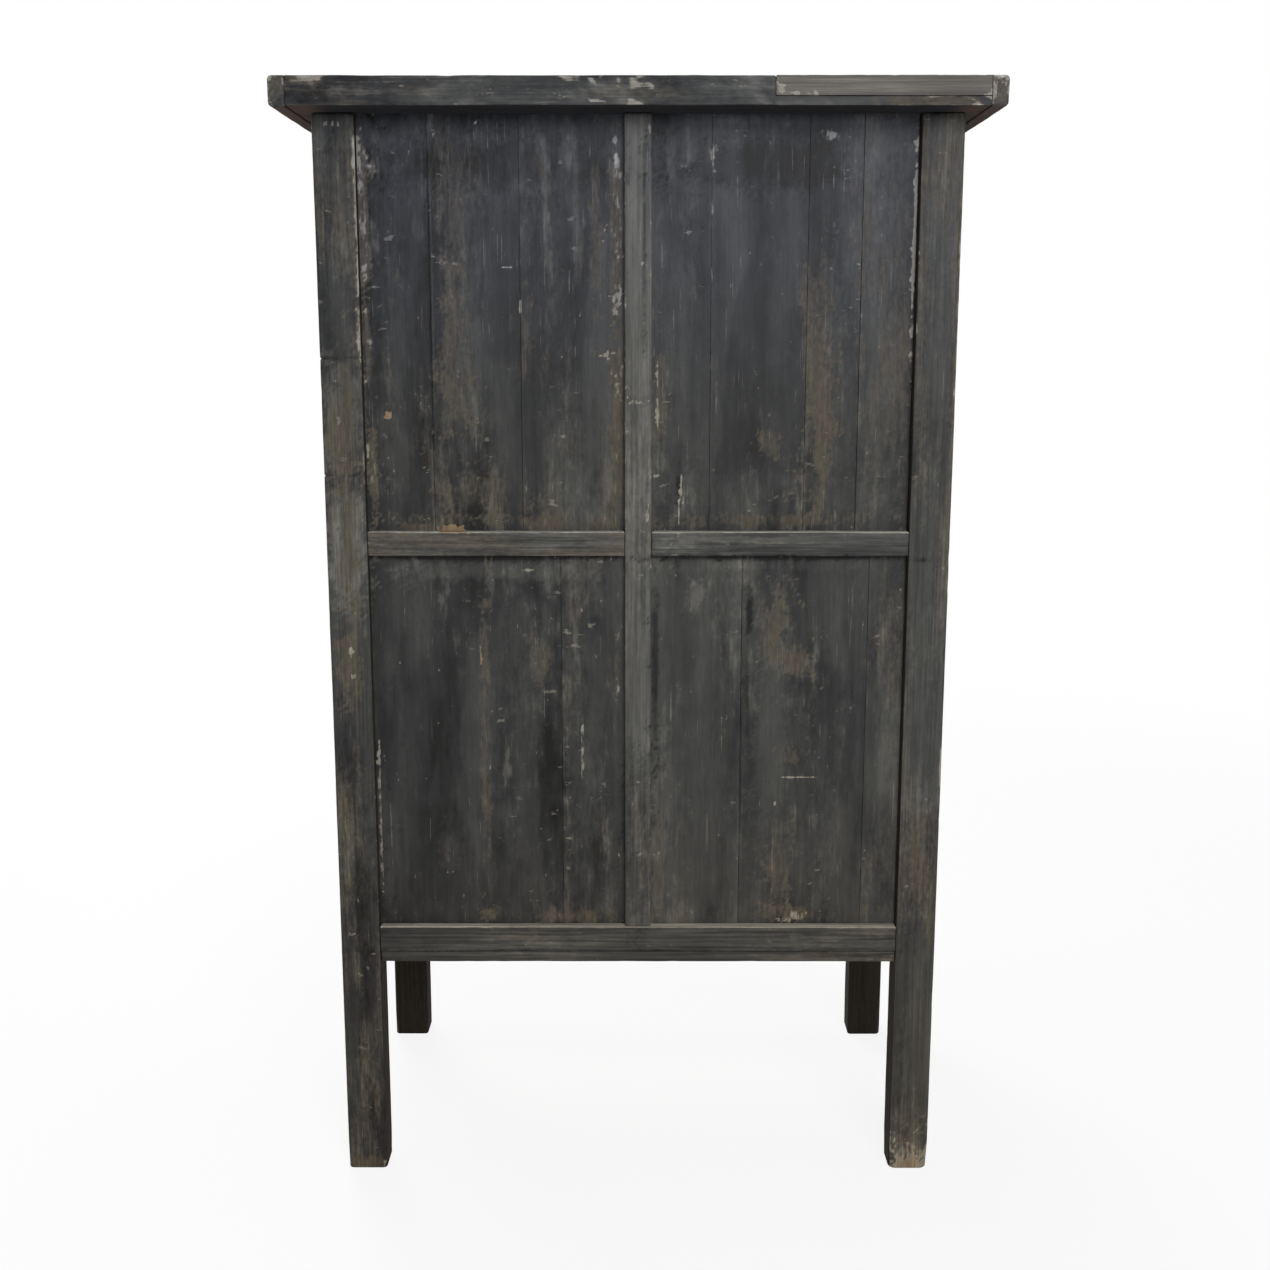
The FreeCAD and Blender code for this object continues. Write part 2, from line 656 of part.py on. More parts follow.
def top_plank(part, cutters):
    """One plank of the top, with tongues at its ends and its outer edge rounded."""
    name = f"top_plank_{part}"
    start, stop = TOP_PLANKS[part]
    y0 = f"-{EDGE_Y} + 2 * {EDGE_Y} * {start}"
    y1 = f"-{EDGE_Y} + 2 * {EDGE_Y} * {stop}" + ("" if part == "rear" else " - board_seam")
    section = [(y0, "carcass_height"), (y1, "carcass_height"), (y1, TOP_Z), (y0, TOP_Z)]
    body, pad = profile(f"{name}_board", "YZ_Plane", section, f"-{PLANK_X}", f"2 * {PLANK_X}")
    if part in ENDS:
        def outer(edge, box):
            at_edge = same(edge.YMax, box.YMin) if part == "front" else same(edge.YMin, box.YMax)
            return at_edge and edge.XLength > edge.ZLength

        dress_edges("Fillet", body, pad, "edge_round", outer)
    tongue_y = {
        "front": (f"{y0} + tongue_stop", y1),
        "middle": (y0, y1),
        "rear": (y0, f"{y1} - tongue_stop"),
    }[part]
    tongues = block(f"{name}_tongues", about(f"({PLANK_X} + tongue_length)"), tongue_y, TONGUE_Z)
    blank = fuse(f"{name}_blank", [body, tongues])
    if part != "rear":
        node(name, cut(name, blank, [cutters]))
        return
    # a strip of new wood let into the rear edge, up to the left end cap
    patch = block("repair_pocket", (f"-{PLANK_X}", f"-{PLANK_X} + repair_length"),
                  (f"{EDGE_Y} - repair_depth", EDGE_Y), (f"{TOP_Z} - repair_height", TOP_Z))
    strip = doc.addObject("Part::Common", "top_repair_strip")
    strip.Base = body
    strip.Tool = patch
    node("top_repair_strip", strip)
    node(name, cut(name, blank, [fuse("rear_plank_cutters", [cutters, patch])]))


def end_cap(side):
    """A cap across the plank ends, a little proud of their edges and grooved for their tongues."""
    name = f"top_end_cap_{side}"
    sign = SIDES[side]
    x0, x1 = toward(sign, (PLANK_X, END_X))
    y0, y1 = about(f"({EDGE_Y} + cap_proud)")
    body, pad = profile(f"{name}_bar", "XY_Plane", [(x0, y0), (x1, y0), (x1, y1), (x0, y1)],
                        "carcass_height - cap_proud", "top_thick + cap_proud")

    def not_inner(edge, box):
        inner = same(edge.XMax, box.XMin) if sign > 0 else same(edge.XMin, box.XMax)
        return not inner

    dress_edges("Fillet", body, pad, "cap_round", not_inner)
    groove_x = toward(sign, (f"{PLANK_X} - overrun", f"{PLANK_X} + tongue_length + end_play"))
    groove = block(f"{name}_groove", groove_x, about(f"({EDGE_Y} - tongue_stop)"), TONGUE_Z)
    node(name, cut(name, body, [groove]))


def door_stop():
    y = (f"{DOOR_BACK} + stop_gap", f"{DOOR_BACK} + stop_gap + stop_width")
    z = ("carcass_height - stop_height", "carcass_height")
    node("door_stop", block("door_stop", about(IN_X), y, z))


# doors: spans for the right-hand door, mirrored for the left
DOOR_Y = (DOOR_FRONT, DOOR_BACK)
DOOR_Z = (f"({RAIL_TOP} + sill_gap)", "(carcass_height - head_gap)")
DOOR_EDGE = f"({IN_X} - door_gap)"
HINGE_STILE_IN = f"({DOOR_EDGE} - door_stile_width)"
MEETING_X = ("(meeting_gap / 2)", "(meeting_gap / 2 + door_stile_width)")
DOOR_TENON_Y = centred(f"{DOOR_FRONT} + door_thick / 2", "door_tenon_thick")
DOOR_PANEL_Y = centred(f"{DOOR_FRONT} + door_thick / 2", "door_panel_thick")
DOOR_RAILS = {
    "bottom": (DOOR_Z[0], f"({DOOR_Z[0]} + door_bottom_height)"),
    "mid": ("door_mid_base", "(door_mid_base + door_mid_height)"),
    "top": (f"({DOOR_Z[1]} - door_top_height)", DOOR_Z[1]),
}
DOOR_PANELS = {"lower": ("bottom", "mid"), "upper": ("mid", "top")}
DOOR_GROOVE_Z = (f"{DOOR_RAILS['bottom'][1]} - groove_depth", f"{DOOR_RAILS['top'][0]} + groove_depth")


def door_rail_tenon_z(level):
    return shrunk(DOOR_RAILS[level], "door_tenon_shoulder")


def door_mortises(name, x):
    return [
        block(f"{name}_{level}_mortise", x, DOOR_TENON_Y, door_rail_tenon_z(level))
        for level in DOOR_RAILS
    ]


def hinge_stile(side):
    """A stile rounded about its pivot, so that it turns beside the post."""
    name = f"door_{side}_hinge_stile"
    sign = SIDES[side]
    x, y = hinge_place(sign)
    flat_x = toward(sign, (HINGE_STILE_IN, f"{DOOR_EDGE} - door_thick / 2"))
    flat = block(f"{name}_flat", flat_x, DOOR_Y, DOOR_Z)
    nose = rod(f"{name}_nose", "door_thick / 2", x, y, DOOR_Z)
    pivot = rod(f"{name}_pivot", "pivot_radius", x, y,
                (f"{RAIL_TOP} - pivot_length", "carcass_height + head_pivot_length"))
    mortise_x = toward(sign, (f"{HINGE_STILE_IN} - overrun",
                              f"{HINGE_STILE_IN} + door_tenon_length + end_play"))
    groove_x = toward(sign, (f"{HINGE_STILE_IN} - overrun", f"{HINGE_STILE_IN} + groove_depth"))
    cutters = door_mortises(name, mortise_x)
    cutters.append(block(f"{name}_groove", groove_x, DOOR_PANEL_Y, DOOR_GROOVE_Z))
    node(name, cut(name, fuse(f"{name}_blank", [flat, nose, pivot]), cutters))


def pull_x(sign):
    return f"{sign} * (meeting_gap / 2 + pull_inset)"


def shank_hole(name, sign):
    across = "shank_size + 2 * shank_clear"
    span = (f"{DOOR_FRONT} - plate_thick - overrun", f"{DOOR_BACK} + overrun")
    return block(name, centred(pull_x(sign), across), span, centred("pull_height", across))


def meeting_stile(side):
    name = f"door_{side}_meeting_stile"
    sign = SIDES[side]
    bar, _ = profile(f"{name}_bar", "XY_Plane", softened(toward(sign, MEETING_X), DOOR_Y, "rail_arris"),
                     DOOR_Z[0], f"{DOOR_Z[1]} - {DOOR_Z[0]}")
    inner = MEETING_X[1]
    mortise_x = toward(sign, (f"{inner} - door_tenon_length - end_play", f"{inner} + overrun"))
    groove_x = toward(sign, (f"{inner} - groove_depth", f"{inner} + overrun"))
    cutters = door_mortises(name, mortise_x)
    cutters.append(block(f"{name}_groove", groove_x, DOOR_PANEL_Y, DOOR_GROOVE_Z))
    cutters.append(shank_hole(f"{name}_shank_hole", sign))
    node(name, cut(name, bar, cutters))


def door_rail(side, level):
    name = f"door_{side}_{level}_rail"
    sign = SIDES[side]
    low, high = DOOR_RAILS[level]
    shoulders = toward(sign, (MEETING_X[1], HINGE_STILE_IN))
    section = softened(DOOR_Y, (low, high), "rail_arris")
    bar, _ = profile(f"{name}_bar", "YZ_Plane", section, shoulders[0],
                     f"({shoulders[1]}) - ({shoulders[0]})")
    length = grown(shoulders, "overrun")
    cutters = []
    if level != "bottom":
        cutters.append(block(f"{name}_lower_groove", length, DOOR_PANEL_Y,
                             (f"{low} - overrun", f"{low} + groove_depth")))
    if level != "top":
        cutters.append(block(f"{name}_upper_groove", length, DOOR_PANEL_Y,
                             (f"{high} - groove_depth", f"{high} + overrun")))
    tenons = block(f"{name}_tenons", grown(shoulders, "door_tenon_length"), DOOR_TENON_Y,
                   door_rail_tenon_z(level))
    node(name, fuse(f"{name}_blank", [cut(f"{name}_grooved", bar, cutters), tenons]))


def door_panel(side, level):
    name = f"door_{side}_{level}_panel"
    below, above = DOOR_PANELS[level]
    x = toward(SIDES[side], panel_span(MEETING_X[1], HINGE_STILE_IN))
    node(name, block(name, x, DOOR_PANEL_Y, panel_span(DOOR_RAILS[below][1], DOOR_RAILS[above][0])))


PULL_Y = f"({DOOR_FRONT} - plate_thick - eye_gap - eye_radius)"


def pull_plate(side):
    """Half of a round plate, on the door's meeting edge."""
    name = f"pull_plate_{side}"
    sign = SIDES[side]
    half = doc.addObject("Part::Cylinder", f"{name}_half")
    half.Angle = 180
    half.setExpression("Radius", link("plate_radius"))
    half.setExpression("Height", link("plate_thick"))
    forward = FreeCAD.Rotation(FreeCAD.Vector(1, 0, 0), 90)
    outward = FreeCAD.Rotation(FreeCAD.Vector(0, 0, 1), -90 * sign)
    place(half, f"{sign} * meeting_gap / 2", DOOR_FRONT, "pull_height - plate_lower",
          forward.multiply(outward))
    node(name, cut(name, half, [shank_hole(f"{name}_hole", sign)]))


def pull_staple(side):
    """An eye of flat strip on a square shank that goes through the stile and is clinched behind it."""
    name = f"pull_staple_{side}"
    x = pull_x(SIDES[side])
    eye = flat_ring(f"{name}_eye", "eye_radius", "eye_band", "eye_thick", x, PULL_Y, "pull_height", "x")
    shank_y = (f"{PULL_Y} + eye_radius - eye_band / 2", f"{DOOR_BACK} + clinch_thick")
    shank = block(f"{name}_shank", centred(x, "shank_size"), shank_y, centred("pull_height", "shank_size"))
    clinch = block(f"{name}_clinch", centred(x, "clinch_width"), (DOOR_BACK, shank_y[1]),
                   centred("pull_height", "2 * clinch_length"))
    node(name, fuse(name, [eye, shank, clinch]))


def drop_pull(side):
    """A flat pear-shaped pendant whose pierced lug hangs in the staple's eye."""
    name = f"drop_pull_{side}"
    x = pull_x(SIDES[side])
    lug_z = "(pull_height - eye_radius + eye_band + lug_gap + lug_band - lug_radius)"
    foot_z = f"({lug_z} - drop_length)"
    # the straight flanks touch both rounds
    lean = "((drop_radius - lug_radius) / drop_length)"
    across = f"sqrt(1 - {lean} * {lean})"
    flank = [
        (f"drop_radius * {across}", f"{foot_z} + drop_radius * {lean}"),
        (f"lug_radius * {across}", f"{lug_z} + lug_radius * {lean}"),
    ]
    waist = [(f"{x} + {half}", z) for half, z in flank]
    waist += [(f"{x} - {half}", z) for half, z in reversed(flank)]
    blade, _ = profile(f"{name}_blade", "XZ_Plane", waist, f"-({PULL_Y} + drop_thick / 2)", "drop_thick")
    lug = disc(f"{name}_lug", "lug_radius", "drop_thick", x, PULL_Y, lug_z, "y")
    foot = disc(f"{name}_foot", "drop_radius", "drop_thick", x, PULL_Y, foot_z, "y")
    eye_hole = disc(f"{name}_eye_hole", "lug_radius - lug_band", "drop_thick + 2 * overrun",
                    x, PULL_Y, lug_z, "y")
    node(name, cut(name, fuse(f"{name}_blank", [blade, lug, foot]), [eye_hole]))


def door(side):
    hinge_stile(side)
    meeting_stile(side)
    for level in DOOR_RAILS:
        door_rail(side, level)
    for level in DOOR_PANELS:
        door_panel(side, level)
    pull_plate(side)
    pull_staple(side)
    drop_pull(side)


def build():
    fill_sheet()
    peg_set = pegs()
    sill_sockets, head_sockets = pivot_sockets()
    for end in ENDS:
        for side in SIDES:
            post(end, side, peg_set)
    back_bottom_rail(peg_set)
    back_stile()
    front_bottom_rail(peg_set, sill_sockets)
    apron()
    for side in SIDES:
        back_mid_rail(side)
        side_rails(side, peg_set)
        for level in PANEL_LEVELS:
            back_panel(side, level)
            side_panel(side, level)
    floor_and_shelf()
    door_stop()
    cutters = top_cutters(head_sockets, [top_batten(side) for side in SIDES])
    for part in TOP_PLANKS:
        top_plank(part, cutters)
    for side in SIDES:
        end_cap(side)
        door(side)
    doc.recompute()


def check():
    for item in doc.Objects:
        if "Invalid" in item.State or "Error" in item.State:
            raise RuntimeError(f"{item.Name} failed: {item.State}")
    for name, piece in nodes.items():
        if piece.Shape.isNull() or not piece.Shape.isValid() or not piece.Shape.Solids:
            raise RuntimeError(f"{name} has no valid shape")


def write():
    os.makedirs("parts", exist_ok=True)
    for name, piece in nodes.items():
        piece.Shape.exportStep(f"parts/{name}.step")


build()
check()
write()
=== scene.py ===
import math
from collections import namedtuple

import bpy
import numpy as np
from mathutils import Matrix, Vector, noise

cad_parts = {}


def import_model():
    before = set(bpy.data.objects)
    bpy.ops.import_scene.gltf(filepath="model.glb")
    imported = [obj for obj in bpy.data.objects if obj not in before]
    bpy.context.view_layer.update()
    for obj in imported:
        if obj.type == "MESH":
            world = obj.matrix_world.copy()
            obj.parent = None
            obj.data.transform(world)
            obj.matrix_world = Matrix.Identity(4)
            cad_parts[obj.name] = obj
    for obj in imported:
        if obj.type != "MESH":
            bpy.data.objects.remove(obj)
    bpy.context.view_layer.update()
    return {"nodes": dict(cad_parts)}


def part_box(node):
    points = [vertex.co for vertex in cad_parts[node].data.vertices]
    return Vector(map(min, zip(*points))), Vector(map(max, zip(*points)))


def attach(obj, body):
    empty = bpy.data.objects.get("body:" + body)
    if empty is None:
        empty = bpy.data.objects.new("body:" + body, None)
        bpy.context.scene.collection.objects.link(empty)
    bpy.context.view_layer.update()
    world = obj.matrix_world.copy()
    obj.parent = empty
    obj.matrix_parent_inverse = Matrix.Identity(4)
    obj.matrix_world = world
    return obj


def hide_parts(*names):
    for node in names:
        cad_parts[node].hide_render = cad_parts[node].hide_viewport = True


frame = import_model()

# A tall cabinet in worn black lacquer, in metres, in the frame of the CAD model.
# The back faces +Y, the doors face -Y, and left is -X as seen from the front.

X, Y, Z = 0, 1, 2
SIDES = {"left": -1, "right": 1}


# Planes that pieces share, read from the frame

def span(node, axis):
    low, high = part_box(node)
    return low[axis], high[axis]


POST_IN = span("rear_post_right", X)[0]
POST_IN_Y, POST_OUT_Y = span("rear_post_right", Y)
TOP_UNDER = span("top_plank_middle", Z)[0]
TOP_REAR = span("top_end_cap_right", Y)[1]
RAIL_TOP = span("side_bottom_rail_right", Z)[1]
STILE_HALF = span("back_centre_stile", X)[1]
PLANK_END = span("top_end_cap_right", X)[0]
BACK_FROM = sum(span("back_panel_right_upper", Y)) / 2
FRONT_FROM = sum(span("door_right_meeting_stile", Y)) / 2


# Materials

INK = (0.007, 0.0068, 0.0066, 1)
BLACK = (0.021, 0.0213, 0.0225, 1)
GREY = (0.047, 0.047, 0.046, 1)
ASH = (0.105, 0.102, 0.095, 1)
BROWN = (0.063, 0.054, 0.043, 1)
DRY = (0.098, 0.095, 0.086, 1)
PALE = (0.195, 0.180, 0.154, 1)
# the paler tops of the rails
PALE_LEDGE = (0.268, 0.262, 0.244, 1)
TAN = (0.175, 0.124, 0.080, 1)
DUST = (0.105, 0.100, 0.090, 1)
# undersides: painted shade, and at their outer ends bare wood made lighter as painted light
SHADED_UNDERSIDE = (0.024, 0.0235, 0.026, 1)
LIT_BARE_UNDERSIDE = (0.064, 0.044, 0.036, 1)
# inward faces outside the body: painted shade
INNER_FACE_SHADE = (0.018, 0.014, 0.010, 1)
STAIN_DARK = (0.030, 0.021, 0.014, 1)
STAIN = (0.075, 0.052, 0.034, 1)
WARM = (1.05, 0.965, 0.83, 1)
OLIVE = (1.0, 1.0, 0.955, 1)
# a painted bluish sheen
COOL_SHEEN = (0.90, 0.965, 1.15, 1)
BARE_DARK = (0.085, 0.058, 0.036, 1)
BARE_LIGHT = (0.20, 0.145, 0.095, 1)
REPAIR_DARK = (0.058, 0.054, 0.049, 1)
REPAIR_LIGHT = (0.124, 0.115, 0.104, 1)
PLATE_BRIGHT = (0.230, 0.165, 0.082, 1)
PLATE_DARK = (0.090, 0.062, 0.034, 1)
PULL_BRIGHT = (0.400, 0.300, 0.150, 1)
PULL_DARK = (0.200, 0.140, 0.070, 1)
PIT = (0.03, 0.022, 0.015, 1)

LACQUER_GLOSS = 0.12
TOP_GLOSS = 0.04
WOOD_GLOSS = 0.25
# how much darker and lighter the growth lines are where they show fully
RIB_DARK = 0.30
RIB_LIGHT = 0.36

# heights between which the lacquer changes, and the painted bluish sheen comes in high up
WARM_TO_OLIVE = (0.2, 0.8)
OLIVE_TO_COOL_SHEEN = (1.2, 1.7)
LEGS_TO_BODY = (0.38, 0.42)
# the same as distances from the middle of the cabinet
FRAME_TO_PANEL = (0.290, 0.282)
PANEL_TO_INSIDE = (0.2785, 0.2770)
UNDERSIDE_SHADE_TO_LIT = (0.46, 0.50)


class Shader:
    """A material's node tree, built by short calls that return sockets."""

    def __init__(self, name):
        self.material = bpy.data.materials.new(name)
        self.material.use_nodes = True
        self.tree = self.material.node_tree
        self.surface = self.tree.nodes["Principled BSDF"]
        coordinates = self.node("TexCoord", {})
        self.place = coordinates.outputs["Object"]
        self.normal = coordinates.outputs["Normal"]

    def node(self, kind, inputs, **settings):
        made = self.tree.nodes.new(f"ShaderNode{kind}")
        for key, value in settings.items():
            setattr(made, key, value)
        for key, value in inputs.items():
            self.feed(made.inputs[key], value)
        return made

    def feed(self, socket, value):
        if isinstance(value, bpy.types.NodeSocket):
            self.tree.links.new(value, socket)
        else:
            socket.default_value = value

    def stretched(self, along, share, shift=0.0):
        """Coordinates that run slowly along the grain, moved aside for a pattern of their own."""
        scale = [1.0, 1.0, 1.0]
        scale[along] = share
        inputs = {0: self.place, 1: scale, 2: (shift, shift, shift)}
        return self.node("VectorMath", inputs, operation="MULTIPLY_ADD").outputs[0]

    def noise(self, vector, scale, detail, rough=0.55):
        inputs = {"Vector": vector, "Scale": scale, "Detail": detail, "Roughness": rough}
        return self.node("TexNoise", inputs).outputs["Fac"]

    def sum(self, *terms):
        """Add sockets, each with its own weight."""
        total = 0.0
        for weight, socket in terms:
            total = self.node("Math", {0: socket, 1: weight, 2: total}, operation="MULTIPLY_ADD").outputs[0]
        return total

    def times(self, a, b):
        return self.node("Math", {0: a, 1: b}, operation="MULTIPLY").outputs[0]

    def fade(self, value, start, end, low=0.0, high=1.0):
        inputs = {"Value": value, "From Min": start, "From Max": end, "To Min": low, "To Max": high}
        return self.node("MapRange", inputs, interpolation_type="SMOOTHSTEP").outputs["Result"]

    def blend(self, factor, a, b, kind="MIX"):
        return self.node("Mix", {0: factor, 6: a, 7: b}, data_type="RGBA", blend_type=kind).outputs[2]

    def ramp(self, value, *stops):
        """A colour for a value, from stops of place and colour."""
        made = self.node("ValToRGB", {0: value})
        while len(made.color_ramp.elements) < len(stops):
            made.color_ramp.elements.new(1.0)
        for element, (place, colour) in zip(made.color_ramp.elements, stops):
            element.position = place
            element.color = colour
        return made.outputs["Color"]

    def damped(self, value, share):
        """A value drawn towards the middle of its range, so that only a share of its swing is left."""
        swing = self.node("Math", {0: value, 1: 0.5}, operation="SUBTRACT").outputs[0]
        return self.node("Math", {0: swing, 1: share, 2: 0.5}, operation="MULTIPLY_ADD").outputs[0]

    def shaded(self, colour, factor):
        return self.node("VectorMath", {0: colour, "Scale": factor}, operation="SCALE").outputs[0]

    def attribute(self, name):
        return self.node("Attribute", {}, attribute_name=name).outputs["Fac"]

    def part(self, vector, letter):
        return self.node("SeparateXYZ", {0: vector}).outputs[letter]

    def away(self, axis):
        """How far a point lies from the middle of the cabinet along one axis."""
        return self.node("Math", {0: self.part(self.place, "XYZ"[axis])}, operation="ABSOLUTE").outputs[0]

    def facing_in(self):
        """How far a surface looks towards the upright line through the middle of the cabinet."""
        inward = self.node("VectorMath", {0: self.place, 1: (-1, -1, 0)}, operation="MULTIPLY").outputs[0]
        return self.node("VectorMath", {0: inward, 1: self.normal}, operation="DOT_PRODUCT").outputs["Value"]

    def finish(self, colour, roughness, height, depth):
        self.feed(self.surface.inputs["Base Color"], colour)
        self.feed(self.surface.inputs["Roughness"], roughness)
        bump = self.node("Bump", {"Height": height, "Distance": depth, "Strength": 1.0})
        self.feed(self.surface.inputs["Normal"], bump.outputs["Normal"])
        return self.material


# what is painted on a piece's vertices, and the noise patterns that break it up
PAINT = ("edge", "wear", "bare", "tone")
Paint = namedtuple("Paint", PAINT)
Patterns = namedtuple("Patterns", "smear drift streak fine grit mottle smudge scuff scratch ribs")


def lacquer_patterns(s, along):
    """Noise of several sizes, nearly all of it drawn out along the grain."""
    def drawn(share, scale, detail, rough, shift=0.0):
        return s.noise(s.stretched(along, share, shift), scale, detail, rough)

    return Patterns(
        smear=drawn(share=0.16, scale=17.0, detail=6, rough=0.55),
        drift=drawn(share=0.25, scale=11.0, detail=7, rough=0.60, shift=7.3),
        streak=drawn(share=0.11, scale=42.0, detail=5, rough=0.6, shift=1.7),
        fine=drawn(share=0.20, scale=200.0, detail=3, rough=0.6),
        grit=drawn(share=0.45, scale=170.0, detail=4, rough=0.65, shift=2.9),
        mottle=drawn(share=0.6, scale=46.0, detail=6, rough=0.58),
        smudge=s.fade(drawn(share=0.30, scale=9.0, detail=5, rough=0.5, shift=4.4), 0.49, 0.54),
        scuff=s.noise(s.stretched(Z, 2.2, 3.1), scale=36.0, detail=4, rough=0.6),
        scratch=drawn(share=0.015, scale=380.0, detail=2, rough=0.5, shift=5.1),
        ribs=drawn(share=0.02, scale=300.0, detail=3, rough=0.6, shift=8.8),
    )


def whole_coat(s, n, paint, lively):
    """The coat where it still covers the wood, with how far it is rubbed brown."""
    texture = s.damped(s.sum((0.4, n.streak), (0.6, n.mottle)), lively)
    depth = s.sum((0.45, n.smear), (0.50, texture), (0.05, n.smudge), (0.08, paint.tone))
    coat = s.ramp(depth, (0.34, INK), (0.44, BLACK), (0.58, GREY), (0.74, ASH))
    rub = s.fade(s.sum((0.45, n.drift), (0.40, n.streak), (0.15, n.grit), (0.14, paint.wear)), 0.53, 0.68)
    coat = s.blend(rub, coat, BROWN)
    dry = s.fade(s.sum((0.6, n.streak), (0.4, n.mottle)), 0.54, 0.64)
    coat = s.blend(s.times(dry, s.fade(n.drift, 0.44, 0.60, low=0.0, high=0.50)), coat, DRY)
    return coat, rub


def worn_coat(s, n, paint, coat):
    """The coat with its pale chips and bare wood, and how far it is dabbed and its ledges are paler."""
    dab = s.times(s.fade(n.scuff, 0.65, 0.71), s.fade(n.drift, 0.48, 0.58))
    speck = s.times(s.fade(n.grit, 0.69, 0.72), s.fade(n.mottle, 0.48, 0.56))
    line = s.times(s.fade(n.scratch, 0.67, 0.72), s.fade(n.mottle, 0.47, 0.58))
    worn = s.fade(s.sum((1.0, paint.edge), (0.8, n.mottle), (0.8, n.fine), (0.8, n.grit)), 1.92, 2.28)
    coat = s.blend(s.sum((0.9, worn), (0.5, dab), (0.9, speck), (0.35, line)), coat, PALE)
    ledge = s.fade(s.sum((1.0, paint.edge), (0.7, n.grit), (0.7, n.mottle)), 2.2, 2.7)
    # the tops of the rails made paler
    coat = s.blend(ledge, coat, PALE_LEDGE)
    bare = s.fade(s.sum((1.0, paint.bare), (0.5, n.mottle), (0.5, n.grit)), 0.88, 1.08)
    return s.blend(bare, coat, TAN), dab, ledge


def tinted(s, coat):
    """The coat warm near the floor, and cool high up on the panels, where the cool tint is a painted bluish
    sheen.
    """
    height = s.part(s.place, "Z")
    tint = s.blend(s.fade(height, *WARM_TO_OLIVE), WARM, OLIVE)
    recess = s.fade(s.away(Y), *FRAME_TO_PANEL, low=0.35, high=1.0)
    # painted bluish sheen high up, strongest on the recessed panels
    tint = s.blend(s.times(s.fade(height, *OLIVE_TO_COOL_SHEEN), recess), tint, COOL_SHEEN)
    return s.blend(1.0, coat, tint, "MULTIPLY")


def hidden_faces(s, n, coat, down, inside):
    """The coat with painted shade on undersides, turning at their outer ends to bare brown wood made lighter
    as painted light, painted shade on the inward faces of the legs and the frame, and the stained inside.
    """
    # undersides painted dark as shade, and lighter brown at the outer ends as painted light on bare wood
    coat = s.blend(down, coat, s.blend(s.fade(s.away(X), *UNDERSIDE_SHADE_TO_LIT), SHADED_UNDERSIDE, LIT_BARE_UNDERSIDE))
    within = s.times(s.fade(s.part(s.place, "Z"), *LEGS_TO_BODY), s.fade(s.away(Y), *PANEL_TO_INSIDE))
    stain = s.blend(s.fade(s.sum((0.5, n.streak), (0.5, n.smear)), 0.36, 0.62), STAIN_DARK, STAIN)
    # inward faces outside the body get painted shade, inside the body a real stain
    return s.blend(inside, coat, s.blend(within, INNER_FACE_SHADE, stain))


def lacquer(name, along, ribbed, gloss=LACQUER_GLOSS):
    """Old black lacquer: smeared along the grain, rubbed brown, scuffed, and worn pale in places.

    ribbed says from 0 to 1 how far the growth lines of the wood show through, and gloss how much it shines.
    """
    s = Shader(name)
    n = lacquer_patterns(s, along)
    paint = Paint(*(s.attribute(key) for key in PAINT))
    lively = s.fade(s.sum((1.0, n.drift), (0.12, paint.wear)), 0.45, 0.60, low=0.30, high=1.0)
    coat, rub = whole_coat(s, n, paint, lively)
    coat, dab, ledge = worn_coat(s, n, paint, coat)

    up = s.part(s.normal, "Z")
    topside = s.fade(up, 0.40, 0.90)
    # down marks the undersides, where shade is painted
    down = s.fade(up, -0.60, -0.95)
    # inside marks faces turned inwards: painted shade on the legs and frame, stain within the body
    inside = s.fade(s.facing_in(), 0.12, 0.22)
    film = s.fade(s.sum((0.6, n.drift), (0.4, n.mottle), (-1.0, ledge)), 0.36, 0.64, low=0.15, high=0.75)
    coat = s.blend(s.times(topside, film), coat, DUST)
    coat = hidden_faces(s, n, tinted(s, coat), down, inside)

    grain = s.damped(s.sum((0.5, n.fine), (0.5, n.grit)), lively)
    coat = s.shaded(coat, s.fade(grain, 0.36, 0.64, low=0.82, high=1.20))
    lines = s.fade(n.ribs, 0.36, 0.64, low=1 - RIB_DARK * ribbed, high=1 + RIB_LIGHT * ribbed)
    s.surface.inputs["Specular IOR Level"].default_value = gloss
    dull = s.sum((0.5, rub), (0.5, n.mottle), (1.0, down), (1.0, inside), (1.0, topside))
    roughness = s.fade(dull, 0.2, 1.2, low=0.48, high=0.95)
    dents = s.sum((0.2, n.fine), (0.25, n.grit), (0.5, n.smear), (0.4, n.mottle), (-0.4, rub), (0.4, dab))
    height = s.sum((1.0, dents), (0.2, n.ribs))
    return s.finish(s.shaded(coat, lines), roughness, height, depth=0.0010)


def plain_wood(name, along, dark, light):
    """Unfinished wood with long growth lines, chipped pale where a piece has wear painted on it."""
    s = Shader(name)
    broad = s.noise(s.stretched(along, 0.2), scale=9.0, detail=3)
    lines = s.noise(s.stretched(along, 0.03), scale=120.0, detail=5, rough=0.6)
    grain = s.noise(s.stretched(along, 0.02), scale=520.0, detail=2)
    blotch = s.noise(s.place, scale=14.0, detail=7, rough=0.6)
    colour = s.blend(s.fade(s.sum((0.6, lines), (0.4, broad)), 0.36, 0.64), dark, light)
    chips = s.fade(s.sum((1.0, s.attribute("edge")), (0.8, blotch), (0.8, grain)), 1.60, 1.95)
    colour = s.blend(chips, colour, PALE)
    shade = s.fade(s.sum((0.5, grain), (0.5, blotch)), 0.3, 0.7, low=0.7, high=1.3)
    s.surface.inputs["Specular IOR Level"].default_value = WOOD_GLOSS
    roughness = s.fade(blotch, 0.3, 0.7, low=0.6, high=0.8)
    height = s.sum((0.5, grain), (0.6, lines))
    return s.finish(s.shaded(colour, shade), roughness, height, depth=0.0008)


